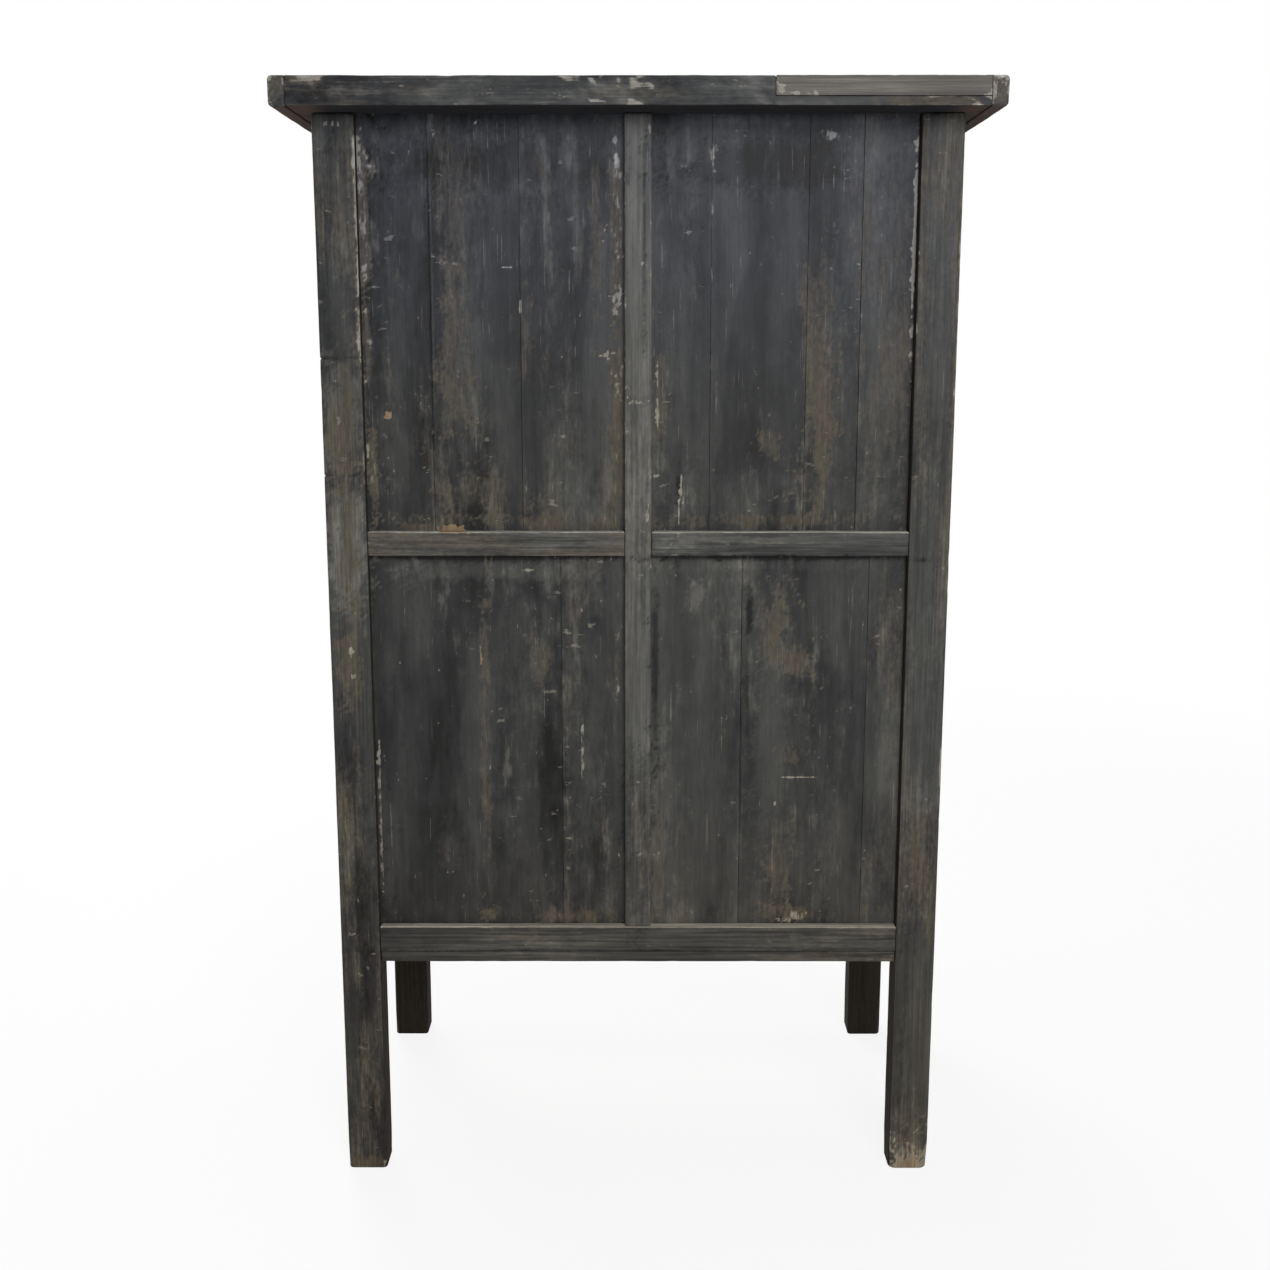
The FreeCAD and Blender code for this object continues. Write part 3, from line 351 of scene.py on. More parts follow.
def aged_brass(name, bright, dark):
    """Dull brass under a brown patina, clouded, pitted and finely scratched."""
    s = Shader(name)
    cloud = s.noise(s.place, scale=38.0, detail=5, rough=0.5)
    pits = s.noise(s.place, scale=420.0, detail=4, rough=0.6)
    scratch = s.noise(s.stretched(Z, 0.15), scale=700.0, detail=3)
    patina = s.fade(s.sum((0.65, cloud), (0.35, pits)), 0.36, 0.66)
    colour = s.blend(patina, bright, dark)
    colour = s.blend(s.fade(pits, 0.62, 0.72), colour, PIT)
    s.surface.inputs["Metallic"].default_value = 1.0
    roughness = s.fade(s.sum((0.7, patina), (0.3, scratch)), 0.0, 1.0, low=0.30, high=0.60)
    height = s.sum((0.3, scratch), (0.4, cloud), (0.3, pits))
    return s.finish(colour, roughness, height, depth=0.0003)


PANEL_LACQUER = lacquer("black_lacquer_panel", Z, ribbed=0.2)
LACQUER = {
    X: lacquer("black_lacquer_x", X, ribbed=1.0),
    Y: lacquer("black_lacquer_y", Y, ribbed=0.3),
    Z: lacquer("black_lacquer_z", Z, ribbed=0.6),
}
TOP_LACQUER = lacquer("black_lacquer_top", X, ribbed=0.4, gloss=TOP_GLOSS)
BARE = {
    axis: plain_wood(f"bare_wood_{label}", axis, BARE_DARK, BARE_LIGHT)
    for axis, label in ((X, "x"), (Y, "y"), (Z, "z"))
}
REPAIR = plain_wood("repair_wood", X, REPAIR_DARK, REPAIR_LIGHT)
PLATE_BRASS = aged_brass("aged_brass_plate", PLATE_BRIGHT, PLATE_DARK)
PULL_BRASS = aged_brass("aged_brass_pull", PULL_BRIGHT, PULL_DARK)


# Wear on the back and the front, as patches painted on the pieces there; on the back some patches are
# painted shadows, shade and highlights instead, each marked where it stands
# x and z are the middle of a patch, and wide and high are half its size
# edge turns it pale, wear brown and bare tan, and tone makes it lighter or darker

Patch = namedtuple("Patch", "x z wide high edge wear bare tone", defaults=(0, 0, 0, 0))
BACK_WEAR_AND_SHADE = [
    # upper right panel
    # the top of the panel darker, as painted shade
    Patch(0.225, 1.680, 0.200, 0.040, tone=-1.2),
    Patch(0.327, 1.480, 0.002, 0.260, tone=-2.0),
    # painted highlight along the edge of the board beside the seam
    Patch(0.3235, 1.520, 0.0025, 0.200, edge=0.35, tone=1.5),
    Patch(0.429, 1.610, 0.012, 0.140, edge=0.85, wear=1.5, bare=0.15),
    Patch(0.425, 1.400, 0.007, 0.090, edge=0.60, wear=1.0),
    Patch(0.424, 1.200, 0.010, 0.090, edge=0.68, wear=1.4),
    Patch(0.346, 1.696, 0.008, 0.032, edge=0.60),
    Patch(0.316, 1.721, 0.006, 0.006, edge=1.05),
    Patch(0.268, 1.635, 0.014, 0.020, edge=0.50),
    Patch(0.207, 1.522, 0.014, 0.003, edge=1.25),
    Patch(0.186, 1.463, 0.003, 0.014, edge=1.25),
    # partly pale wear, partly a painted bluish highlight
    Patch(0.113, 1.690, 0.014, 0.044, edge=0.40, tone=0.8),
    Patch(0.066, 1.600, 0.009, 0.130, wear=0.8, tone=0.5),
    Patch(0.033, 1.590, 0.012, 0.150, edge=0.70, wear=1.2),
    Patch(0.033, 1.300, 0.012, 0.170, edge=0.68, wear=1.2),
    Patch(0.034, 1.684, 0.003, 0.010, edge=1.70),
    Patch(0.036, 1.711, 0.003, 0.008, edge=1.70),
    Patch(0.290, 1.380, 0.026, 0.130, wear=0.9, tone=0.3),
    Patch(0.190, 1.400, 0.026, 0.110, wear=0.8),
    Patch(0.237, 1.165, 0.080, 0.050, wear=0.65),
    Patch(0.226, 1.122, 0.190, 0.014, wear=0.5),
    Patch(0.298, 1.112, 0.027, 0.0075, bare=0.85),
    Patch(0.355, 1.113, 0.034, 0.007, wear=1.1, edge=0.45),
    Patch(0.397, 1.292, 0.006, 0.008, bare=1.00),
    # upper left panel
    Patch(-0.112, 1.689, 0.010, 0.024, edge=0.42, wear=0.6),
    Patch(-0.157, 1.727, 0.018, 0.004, edge=0.95),
    Patch(-0.116, 1.534, 0.005, 0.210, edge=0.40, tone=0.6),
    Patch(-0.303, 1.718, 0.034, 0.018, edge=0.72, wear=0.5),
    Patch(-0.300, 1.720, 0.008, 0.007, edge=0.45),
    Patch(-0.277, 1.440, 0.028, 0.170, wear=0.9),
    Patch(-0.293, 1.270, 0.022, 0.150, wear=0.8),
    Patch(-0.400, 1.427, 0.050, 0.310, wear=0.4, tone=0.4),
    Patch(-0.4295, 1.555, 0.004, 0.180, edge=1.35),
    Patch(-0.219, 1.437, 0.018, 0.072, edge=0.45, tone=0.4),
    Patch(-0.211, 1.250, 0.025, 0.026, edge=0.45, wear=1.1),
    Patch(-0.069, 1.187, 0.003, 0.027, edge=1.60),
    Patch(-0.064, 1.187, 0.002, 0.030, edge=-0.3, tone=-4.0),
    Patch(-0.066, 1.136, 0.002, 0.030, edge=1.05),
    Patch(-0.028, 1.196, 0.007, 0.004, edge=1.40),
    Patch(-0.030, 1.300, 0.003, 0.026, edge=1.05),
    Patch(-0.030, 1.352, 0.0025, 0.022, edge=0.95),
    Patch(-0.036, 1.335, 0.010, 0.080, edge=0.35, wear=1.0, tone=0.6),
    Patch(-0.225, 1.125, 0.195, 0.014, wear=0.7),
    Patch(-0.225, 1.165, 0.200, 0.045, tone=0.7),
    # the top of the panel darker, as painted shade
    Patch(-0.200, 1.680, 0.150, 0.040, tone=-1.3),
    # painted light that lifts the shadow under the top
    Patch(-0.225, 1.743, 0.200, 0.010, tone=1.2),
    # lower right panel
    Patch(0.250, 0.764, 0.012, 0.290, wear=1.0, tone=0.3),
    Patch(0.257, 0.904, 0.005, 0.026, bare=0.55),
    Patch(0.157, 0.900, 0.022, 0.045, wear=0.9, tone=0.6),
    Patch(0.157, 0.853, 0.020, 0.003, edge=0.75),
    Patch(0.316, 0.575, 0.020, 0.040, wear=0.9, tone=0.7),
    Patch(0.092, 0.740, 0.003, 0.080, edge=1.00),
    Patch(0.429, 0.634, 0.004, 0.160, edge=0.90),
    Patch(0.034, 0.900, 0.006, 0.120, edge=0.70, wear=0.6),
    Patch(0.235, 0.466, 0.055, 0.028, wear=0.5),
    Patch(0.160, 0.458, 0.130, 0.020, wear=0.45),
    Patch(0.100, 0.452, 0.080, 0.013, wear=0.4),
    # painted shadow under the mid rail
    Patch(0.228, 1.066, 0.200, 0.005, tone=-3.0),
    # pale strokes, and the band made lighter as painted light below the rail's shadow
    Patch(0.228, 1.044, 0.180, 0.016, edge=0.50, tone=1.5),
    Patch(0.179, 1.045, 0.013, 0.003, edge=0.55),
    Patch(0.428, 0.748, 0.003, 0.020, edge=0.90),
    # lower left panel
    Patch(-0.094, 1.002, 0.014, 0.022, edge=0.35, tone=1.4),
    # painted shadow in the groove beside the stile
    Patch(-0.028, 0.891, 0.006, 0.150, tone=-2.0),
    Patch(-0.181, 0.976, 0.006, 0.036, tone=-2.5),
    Patch(-0.174, 0.800, 0.003, 0.280, edge=0.45, tone=0.6),
    Patch(-0.218, 0.944, 0.023, 0.072, wear=1.0, tone=0.7),
    Patch(-0.262, 0.892, 0.026, 0.032, wear=1.0, tone=0.7),
    Patch(-0.250, 0.735, 0.027, 0.024, edge=0.55, wear=1.2),
    Patch(-0.267, 0.697, 0.042, 0.003, edge=1.25),
    Patch(-0.034, 0.560, 0.012, 0.090, edge=0.60, wear=0.8),
    Patch(-0.236, 0.560, 0.030, 0.100, wear=0.9),
    Patch(-0.220, 0.765, 0.030, 0.250, tone=1.0),
    Patch(-0.261, 0.455, 0.038, 0.011, edge=0.90, wear=0.6),
    Patch(-0.240, 0.449, 0.014, 0.004, edge=0.60),
    Patch(-0.228, 0.653, 0.003, 0.006, edge=1.90),
    Patch(-0.228, 0.462, 0.190, 0.018, wear=0.7),
    Patch(-0.403, 0.730, 0.033, 0.280, wear=0.2),
    # painted shadow under the mid rail
    Patch(-0.228, 1.066, 0.200, 0.005, tone=-3.0),
    # pale strokes, and the band made lighter as painted light below the rail's shadow
    Patch(-0.200, 1.052, 0.160, 0.010, edge=0.50, tone=0.6),
    # painted shadow line along the step of the bottom rail's bead
    Patch(0.0, 0.398, 0.434, 0.0020, edge=-0.6, tone=-2.5),
    # posts, stile and feet
    Patch(0.467, 1.291, 0.036, 0.091, wear=0.7, tone=2.5),
    Patch(0.467, 1.085, 0.036, 0.115, wear=0.7, tone=3.0),
    Patch(0.467, 0.750, 0.036, 0.250, wear=0.4, tone=-0.5),
    Patch(-0.467, 0.750, 0.036, 0.250, tone=-0.4),
    Patch(0.470, 0.890, 0.020, 0.055, wear=1.2, tone=0.5),
    Patch(0.436, 1.695, 0.0035, 0.030, edge=0.80),
    Patch(0.435, 1.495, 0.003, 0.020, edge=0.55),
    Patch(0.432, 1.234, 0.003, 0.016, edge=1.00),
    Patch(0.466, 0.914, 0.005, 0.007, edge=1.60),
    Patch(0.464, 0.873, 0.0045, 0.006, edge=1.60),
    Patch(0.478, 1.345, 0.005, 0.010, edge=0.95),
    Patch(0.474, 1.286, 0.006, 0.012, edge=0.95),
    Patch(0.438, 1.420, 0.005, 0.060, edge=0.55, wear=0.8),
    Patch(0.478, 1.735, 0.004, 0.006, edge=1.15),
    Patch(0.468, 1.735, 0.004, 0.006, edge=1.15),
    Patch(0.459, 1.735, 0.004, 0.006, edge=1.15),
    Patch(-0.498, 1.475, 0.005, 0.270, edge=0.35, wear=1.1),
    Patch(-0.498, 0.720, 0.004, 0.050, edge=0.75, bare=0.45),
    Patch(-0.467, 1.700, 0.036, 0.060, tone=-0.6),
    Patch(0.467, 1.660, 0.036, 0.100, tone=-0.8),
    Patch(0.0, 1.314, 0.016, 0.0035, edge=1.25),
    Patch(-0.0145, 1.136, 0.0035, 0.018, edge=1.20),
    Patch(-0.0175, 1.727, 0.003, 0.008, edge=1.10),
    Patch(-0.007, 1.527, 0.004, 0.004, edge=1.30),
    Patch(-0.467, 1.271, 0.0045, 0.003, edge=1.80),
    Patch(-0.503, 1.734, 0.004, 0.014, edge=1.20),
    Patch(-0.0105, 1.560, 0.002, 0.190, tone=-2.5),
    Patch(-0.0170, 1.540, 0.003, 0.230, edge=0.45),
    Patch(0.0, 0.590, 0.024, 0.160, tone=-1.2),
    Patch(-0.467, 0.024, 0.036, 0.058, edge=0.90, wear=0.6, bare=0.36, tone=2.0),
    Patch(-0.467, 0.004, 0.036, 0.018, edge=0.60, bare=0.11),
    Patch(0.467, 0.010, 0.040, 0.012, edge=0.55, wear=0.8),
    Patch(0.467, 0.320, 0.040, 0.330, wear=0.15, tone=-0.6),
    # rear edge of the top
    Patch(0.492, 1.786, 0.030, 0.009, edge=0.95, wear=1.0),
    Patch(0.541, 1.777, 0.012, 0.024, edge=0.55, wear=0.9, tone=-0.8),
    Patch(0.350, 1.775, 0.010, 0.008, edge=0.85),
    Patch(0.263, 1.764, 0.056, 0.008, edge=0.55),
    Patch(0.038, 1.778, 0.060, 0.014, edge=0.55, tone=2.1),
    Patch(-0.140, 1.778, 0.070, 0.016, tone=1.6),
    Patch(0.420, 1.773, 0.140, 0.024, tone=-0.9),
    Patch(0.315, 1.783, 0.008, 0.005, edge=0.90),
    Patch(0.275, 1.763, 0.004, 0.009, edge=0.80),
    Patch(0.236, 1.762, 0.004, 0.008, edge=0.80),
    Patch(0.100, 1.790, 0.032, 0.004, edge=0.85),
    Patch(0.062, 1.758, 0.020, 0.004, edge=1.00),
    Patch(0.005, 1.755, 0.010, 0.004, edge=1.20),
    Patch(-0.005, 1.782, 0.026, 0.010, edge=0.75),
    Patch(-0.2125, 1.774, 0.006, 0.008, edge=1.50),
    Patch(-0.233, 1.769, 0.007, 0.003, edge=1.30),
    Patch(-0.262, 1.770, 0.004, 0.005, edge=1.30),
    Patch(-0.250, 1.773, 0.003, 0.007, edge=0.85),
    Patch(-0.516, 1.770, 0.010, 0.011, edge=0.72),
    Patch(-0.430, 1.757, 0.090, 0.009, edge=0.45, wear=1.6),
    Patch(-0.536, 1.775, 0.014, 0.022, edge=0.65, wear=0.8, tone=3.6),
    Patch(-0.527, 1.769, 0.007, 0.014, edge=0.60),
    Patch(-0.540, 1.782, 0.006, 0.005, edge=0.40),
    Patch(-0.534, 1.794, 0.013, 0.003, edge=2.00),
]
FRONT_WEAR = [
    # hands have rubbed the doors round the pulls
    Patch(-0.050, 1.160, 0.045, 0.120, edge=0.30, wear=1.3),
    Patch(0.050, 1.150, 0.045, 0.130, edge=0.30, wear=1.3),
    Patch(0.0, 1.120, 0.014, 0.260, edge=0.45, wear=0.8),
    # knocks and wet along the bottom of the doors and the rail
    Patch(-0.210, 0.470, 0.190, 0.024, edge=0.30, wear=1.0),
    Patch(0.230, 0.465, 0.170, 0.020, edge=0.30, wear=1.0),
    Patch(0.120, 0.412, 0.110, 0.020, wear=0.9),
    Patch(-0.250, 0.405, 0.090, 0.018, wear=0.9),
    # scrapes on the panels
    Patch(-0.310, 0.850, 0.018, 0.180, wear=1.0),
    Patch(0.170, 0.720, 0.024, 0.120, wear=0.9, tone=0.4),
    Patch(0.300, 1.420, 0.016, 0.200, wear=0.9),
    Patch(-0.160, 1.500, 0.030, 0.060, edge=0.25, wear=0.8),
    Patch(-0.250, 1.260, 0.050, 0.004, edge=0.90),
    # front posts and their feet
    Patch(-0.467, 0.040, 0.040, 0.050, edge=0.40, wear=1.3),
    Patch(0.467, 0.030, 0.040, 0.040, edge=0.40, wear=1.3),
    Patch(-0.490, 0.700, 0.010, 0.200, edge=0.30, wear=0.8),
    Patch(0.470, 1.050, 0.030, 0.120, wear=0.7, tone=0.6),
    # front edge of the top
    Patch(-0.180, 1.786, 0.120, 0.010, edge=0.40, wear=0.8),
    Patch(0.320, 1.780, 0.080, 0.012, edge=0.30, wear=0.8),
]
# a patch is a rounded rectangle that fades out between these shares of its size
PATCH_POWER = 3
PATCH_SOFT = (0.40, 1.20)
# noise that makes its rim ragged: waves in a metre and share
PATCH_RAGGED = {45: 0.5, 210: 0.6}
# how far in from the top's front and rear faces a point still counts as on them
EDGE_REACH = 0.014


def smoothstep(values, start, end):
    t = np.clip((values - start) / (end - start), 0, 1)
    return t * t * (3 - 2 * t)


def add_patches(points, paint):
    """Add the patches to the vertices that lie on the cabinet's back and on its front."""
    on_top = points[:, Z] > TOP_UNDER
    on_back = points[:, Y] > np.where(on_top, TOP_REAR - EDGE_REACH, BACK_FROM)
    on_front = points[:, Y] < np.where(on_top, EDGE_REACH - TOP_REAR, FRONT_FROM)
    faces = ((BACK_WEAR_AND_SHADE, on_back), (FRONT_WEAR, on_front))
    ragged = np.ones(len(points))
    for scale, share in PATCH_RAGGED.items():
        ragged += [share * noise.noise(Vector(point) * scale) for point in points]
    for patches, on_face in faces:
        for patch in patches:
            across = np.abs(points[:, X] - patch.x) / patch.wide
            upward = np.abs(points[:, Z] - patch.z) / patch.high
            reach = (across ** PATCH_POWER + upward ** PATCH_POWER) ** (1 / PATCH_POWER)
            weight = (1 - smoothstep(reach * ragged, *PATCH_SOFT)) * on_face
            for key in PAINT:
                paint[key] += getattr(patch, key) * weight


# Worn bars and boards

ARC_STEPS = 3
ROUND_LIMIT = 0.49
# how pale the middle of an arris is, what the ends of its arc lose, and the share beside it
ARRIS_WEAR = 0.65
ARC_END_LOSS = 0.5
BESIDE_ARRIS = 0.2
# a line of points beside each edge, at most this share of the side away from it
SUPPORT = 0.003
SUPPORT_LIMIT = 0.2
CUT_HALF = 0.002
CUT_DEPTH = 0.0014
CUT_WANDER = 0.004
CUT_WAVES = 45
FACE_WAVES = 19
# the rounding's slow swing, its knocks, and how far up a worn foot goes
SWING = 0.5
SWING_WAVES = 6
KNOCK_WAVES = 38
KNOCK_FROM = 0.25
FOOT_REACH = 0.05
# factors that give each arris its own stretch of noise
PLACE_SEED = (31, 17, 5)
CORNER_SEED = 7.7
KNOCK_SEED = 3.3
SHARP_ANGLE = 50

# arris is the usual rounding, knock the deepest dent in it, and wave the unevenness of the faces
# step and cell are the sizes of the mesh along and across, cuts are places of saw cuts along the bar
# foot is how much rounder its lower end is, and rounds are the least roundings of its four arrises
# ledge is how much paler the top of a bar along X is
Bar = namedtuple(
    "Bar", "low high along arris knock wave step cell tone wear cuts foot rounds ledge",
    defaults=(0.0025, 0.003, 0.0005, 0.012, 0.02, 0.0, 0.0, (), 0.0, (0, 0, 0, 0), 0.0),
)
# a rounded end in three rings: how far along, how far in (both in arrises) and how worn
END_RINGS = ((0.0, 1.0, 0.3), (0.3, 0.286, 0.75), (1.0, 0.0, 0.2))


def stations(bar, size):
    """Rings along a bar as place, inset and wear: its rounded ends, even steps, and any cuts."""
    length = size[bar.along]
    margin = min(SUPPORT, SUPPORT_LIMIT * min(size))
    ends = [(0.0, bar.arris + margin, 0.0)]
    ends += [(place * bar.arris, inset * bar.arris, edge) for place, inset, edge in END_RINGS]
    count = max(2, round((length - 2 * bar.arris) / bar.step))
    places = [bar.arris + (length - 2 * bar.arris) * i / count for i in range(1, count)]
    for cut in bar.cuts:
        places = [place for place in places if abs(place - cut) > 2 * CUT_HALF]
    rings = [(place, 0.0, 0.0) for place in places]
    for cut in bar.cuts:
        rings += [(cut - CUT_HALF, 0.0, 0.0), (cut, CUT_DEPTH, 0.0), (cut + CUT_HALF, 0.0, 0.0)]
    far = [(length - place, inset, edge) for place, inset, edge in reversed(ends)]
    return ends + sorted(rings) + far


def corner_radius(bar, place, corner, limit):
    """The rounding of one arris at one place, with its knocks and a worn foot."""
    x, y, z = (value * factor for value, factor in zip(bar.low, PLACE_SEED))
    seed = Vector((x + corner * CORNER_SEED, y + z, 0))
    slow = noise.noise(seed + Vector((0, 0, place * SWING_WAVES)))
    quick = noise.noise(seed + Vector((KNOCK_SEED, 0, place * KNOCK_WAVES)))
    radius = bar.arris * (1 + SWING * slow) + bar.knock * max(0.0, quick - KNOCK_FROM)
    radius += bar.foot * max(0.0, 1 - place / FOOT_REACH)
    return min(max(radius, bar.rounds[corner]), limit)


def run_shares(length, cell):
    """Where a flat side of a section has points, as shares of its length."""
    edge = min(SUPPORT_LIMIT, SUPPORT / length)
    count = max(1, round(length * (1 - 2 * edge) / cell))
    return [edge + (1 - 2 * edge) * i / count for i in range(count + 1)]


def section(width, height, radii, inset, shares):
    """Points round a section: place, outward direction and how much of an arris each one is."""
    corners = ((width, height), (0, height), (0, 0), (width, 0))
    inward = ((-1, -1), (1, -1), (1, 1), (-1, 1))
    arcs = []
    for i in range(4):
        centre = [corners[i][k] + inward[i][k] * (radii[i] + inset) for k in (0, 1)]
        arc = []
        for step in range(ARC_STEPS + 1):
            angle = math.radians(90 * (i + step / ARC_STEPS))
            out = (math.cos(angle), math.sin(angle))
            edge = ARRIS_WEAR * (1 - ARC_END_LOSS * abs(2 * step / ARC_STEPS - 1))
            arc.append((centre[0] + radii[i] * out[0], centre[1] + radii[i] * out[1], out, edge))
        arcs.append(arc)
    points = []
    for i in range(4):
        points += arcs[i]
        start, stop = arcs[i][-1], arcs[(i + 1) % 4][0]
        sides = shares[i % 2]
        for k, share in enumerate(sides):
            edge = BESIDE_ARRIS * ARRIS_WEAR if k in (0, len(sides) - 1) else 0.0
            place = [start[a] + (stop[a] - start[a]) * share for a in (0, 1)]
            points.append((place[0], place[1], start[2], edge))
    return points


def bar_mesh(bar):
    """Vertices, faces and arris wear of one bar."""
    u, v = (bar.along + 1) % 3, (bar.along + 2) % 3
    size = [high - low for low, high in zip(bar.low, bar.high)]
    shares = (run_shares(size[u], bar.cell), run_shares(size[v], bar.cell))
    points, edges, faces = [], [], []
    rings = stations(bar, size)
    for place, inset, end_edge in rings:
        beside_cut = any(abs(place - cut) < 2 * CUT_HALF for cut in bar.cuts)
        limit = ROUND_LIMIT * min(size[u], size[v]) - inset
        radii = [corner_radius(bar, place, corner, limit) for corner in range(4)]
        inner = inset > bar.arris
        for pu, pv, out, edge in section(size[u], size[v], radii, inset, shares):
            point = Vector((0, 0, 0))
            point[u] = bar.low[u] + pu
            point[v] = bar.low[v] + pv
            point[bar.along] = bar.low[bar.along] + place
            sink = bar.wave * (0.5 + 0.5 * noise.noise(point * FACE_WAVES))
            point[u] -= sink * out[0]
            point[v] -= sink * out[1]
            if beside_cut:
                wander = noise.noise(Vector((pu * CUT_WAVES, pv * CUT_WAVES, place)))
                point[bar.along] += CUT_WANDER * wander
            points.append(point)
            edges.append(0.0 if inner else max(edge, end_edge) + bar.ledge * max(0.0, out[1]))
    around = len(points) // len(rings)
    for row in range(len(rings) - 1):
        for i in range(around):
            a, b = row * around + i, row * around + (i + 1) % around
            faces.append((a, b, b + around, a + around))
    faces.append(tuple(reversed(range(around))))
    faces.append(tuple(range(len(points) - around, len(points))))
    return points, faces, edges


def worn_piece(node, bars, material, body="carcass"):
    """One object of worn bars that stands for a CAD node."""
    points, faces, edges, tones, wears = [], [], [], [], []
    for bar in bars:
        bar_points, bar_faces, bar_edges = bar_mesh(bar)
        faces += [tuple(i + len(points) for i in face) for face in bar_faces]
        points += bar_points
        edges += bar_edges
        tones += [bar.tone] * len(bar_points)
        wears += [bar.wear] * len(bar_points)
    mesh = bpy.data.meshes.new(f"worn_{node}")
    mesh.from_pydata(points, [], faces)
    paint = {key: np.zeros(len(points)) for key in PAINT}
    paint["edge"] += edges
    paint["tone"] += tones
    paint["wear"] += wears
    add_patches(np.array([tuple(point) for point in points]), paint)
    for key, values in paint.items():
        mesh.attributes.new(key, "FLOAT", "POINT").data.foreach_set("value", values)
    mesh.polygons.foreach_set("use_smooth", [True] * len(mesh.polygons))
    mesh.set_sharp_from_angle(angle=math.radians(SHARP_ANGLE))
    mesh.materials.append(material)
    piece = bpy.data.objects.new(f"worn_{node}", mesh)
    bpy.context.scene.collection.objects.link(piece)
    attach(piece, body)
    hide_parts(node)


def bar_of(node, along, low=None, high=None, **looks):
    """A bar the size of a CAD node, with some of its limits replaced."""
    corners = [list(corner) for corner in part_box(node)]
    for corner, limits in zip(corners, (low, high)):
        for axis, value in (limits or {}).items():
            corner[axis] = value
    return Bar(corners[0], corners[1], along, **looks)


# Carcass

# the back is looked at closely, so its bars have a finer mesh
FINE = dict(step=0.005, cell=0.005)
POST_LOOKS = {
    "rear_post_right": dict(cuts=(1.200, 1.383), foot=0.004, tone=0.1, wear=0.2, **FINE),
    "rear_post_left": dict(foot=0.009, knock=0.005, tone=0.7, wear=0.3, **FINE),
    # the front posts are darker all over, as painted shade under the cabinet
    "front_post_right": dict(foot=0.003, tone=-0.4),
    "front_post_left": dict(foot=0.003, tone=-0.4),
}

MID_LOOKS = {"left": dict(tone=0.2, wear=-0.3), "right": dict(tone=0.8, wear=0.6)}
RAIL_STEP_UP = 0.019
RAIL_STEP_BACK = 0.0035


def posts():
    for node, looks in POST_LOOKS.items():
        looks = {"arris": 0.003, "knock": 0.004, **looks}
        worn_piece(node, [bar_of(node, Z, high={Z: TOP_UNDER}, **looks)], LACQUER[Z])


def frame_rails():
    between = dict(low={X: -POST_IN}, high={X: POST_IN})
    split_at = span("back_bottom_rail", Z)[0] + RAIL_STEP_UP
    set_back = POST_OUT_Y - RAIL_STEP_BACK
    upper_looks = dict(tone=0.3, ledge=2.0, **FINE)
    upper = bar_of("back_bottom_rail", X, {X: -POST_IN, Z: split_at}, {X: POST_IN}, **upper_looks)
    lower = bar_of("back_bottom_rail", X, {X: -POST_IN}, {X: POST_IN, Y: set_back, Z: split_at}, tone=-0.1)
    worn_piece("back_bottom_rail", [upper, lower], LACQUER[X])
    worn_piece("front_bottom_rail", [bar_of("front_bottom_rail", X, **between)], LACQUER[X])
    stile = bar_of("back_centre_stile", Z, {Z: RAIL_TOP}, {Z: TOP_UNDER}, tone=1.6, step=0.004, cell=0.004)
    worn_piece("back_centre_stile", [stile], LACQUER[Z])
    for side, sign in SIDES.items():
        inner, outer = sorted((sign * STILE_HALF, sign * POST_IN))
        node = f"back_mid_rail_{side}"
        mid_looks = dict(knock=0.0015, ledge=2.1, **MID_LOOKS[side], **FINE)
        worn_piece(node, [bar_of(node, X, {X: inner}, {X: outer}, **mid_looks)], LACQUER[X])
        for level in ("bottom", "mid"):
            node = f"side_{level}_rail_{side}"
            worn_piece(node, [bar_of(node, Y, {Y: -POST_IN_Y}, {Y: POST_IN_Y})], LACQUER[Y])


# boards from the post inwards: share of the panel's width, tone, wear and how far each one lies back
BACK_BOARDS = {
    "right_upper": (
        (0.27, -0.6, 0.0, 0.0), (0.33, -0.5, 0.0, 0.0010), (0.40, 0.0, 0.1, 0.0004),
    ),
    "right_lower": (
        (0.74, -0.7, -0.3, 0.0), (0.26, -0.1, 0.0, 0.0),
    ),
    "left_upper": (
        (0.20, 0.0, 0.1, 0.0), (0.20, -0.5, 0.0, 0.0008),
        (0.36, -0.3, -0.2, 0.0003), (0.24, -0.3, -0.2, 0.0010),
    ),
    "left_lower": (
        (0.14, 0.2, 0.1, 0.0005), (0.49, 0.0, -0.1, 0.0005), (0.37, 0.9, 0.0, 0.0),
    ),
}
SIDE_BOARDS = ((0.30, 0.1, 0.1, 0.0), (0.38, -0.2, 0.2, 0.0), (0.32, 0.2, 0.0, 0.0))
BOARD_LOOKS = dict(along=Z, arris=0.0003, knock=0.0012, wave=0.0008, step=0.006, cell=0.006)
BACK_LOOKS = {**BOARD_LOOKS, "step": 0.004, "cell": 0.0035}
BOARD_SEAM = 0.0001
SHRINKAGE = 0.0012
LET_IN = 0.003
CAP_ROUND = 0.007
STRIP_LOOKS = dict(knock=0.010, step=0.004, cell=0.004)
CAP_LOOKS = dict(arris=0.003, knock=0.006, wave=0.0015, step=0.01, cell=0.012, wear=0.5)


def split(low, high, axis, boards, looks, start_high=False):
    """Boards side by side across a panel, from its high or its low end."""
    made = []
    edge = high[axis] if start_high else low[axis]
    for share, tone, wear, back in boards:
        step = share * (high[axis] - low[axis]) * (-1 if start_high else 1)
        ends = sorted((edge, edge + step))
        board_low, board_high = list(low), list(high)
        board_low[axis], board_high[axis] = ends[0] + BOARD_SEAM / 2, ends[1] - BOARD_SEAM / 2
        board_high[Y] -= back
        made.append(Bar(board_low, board_high, tone=tone, wear=wear, **looks))
        edge += step
    return made


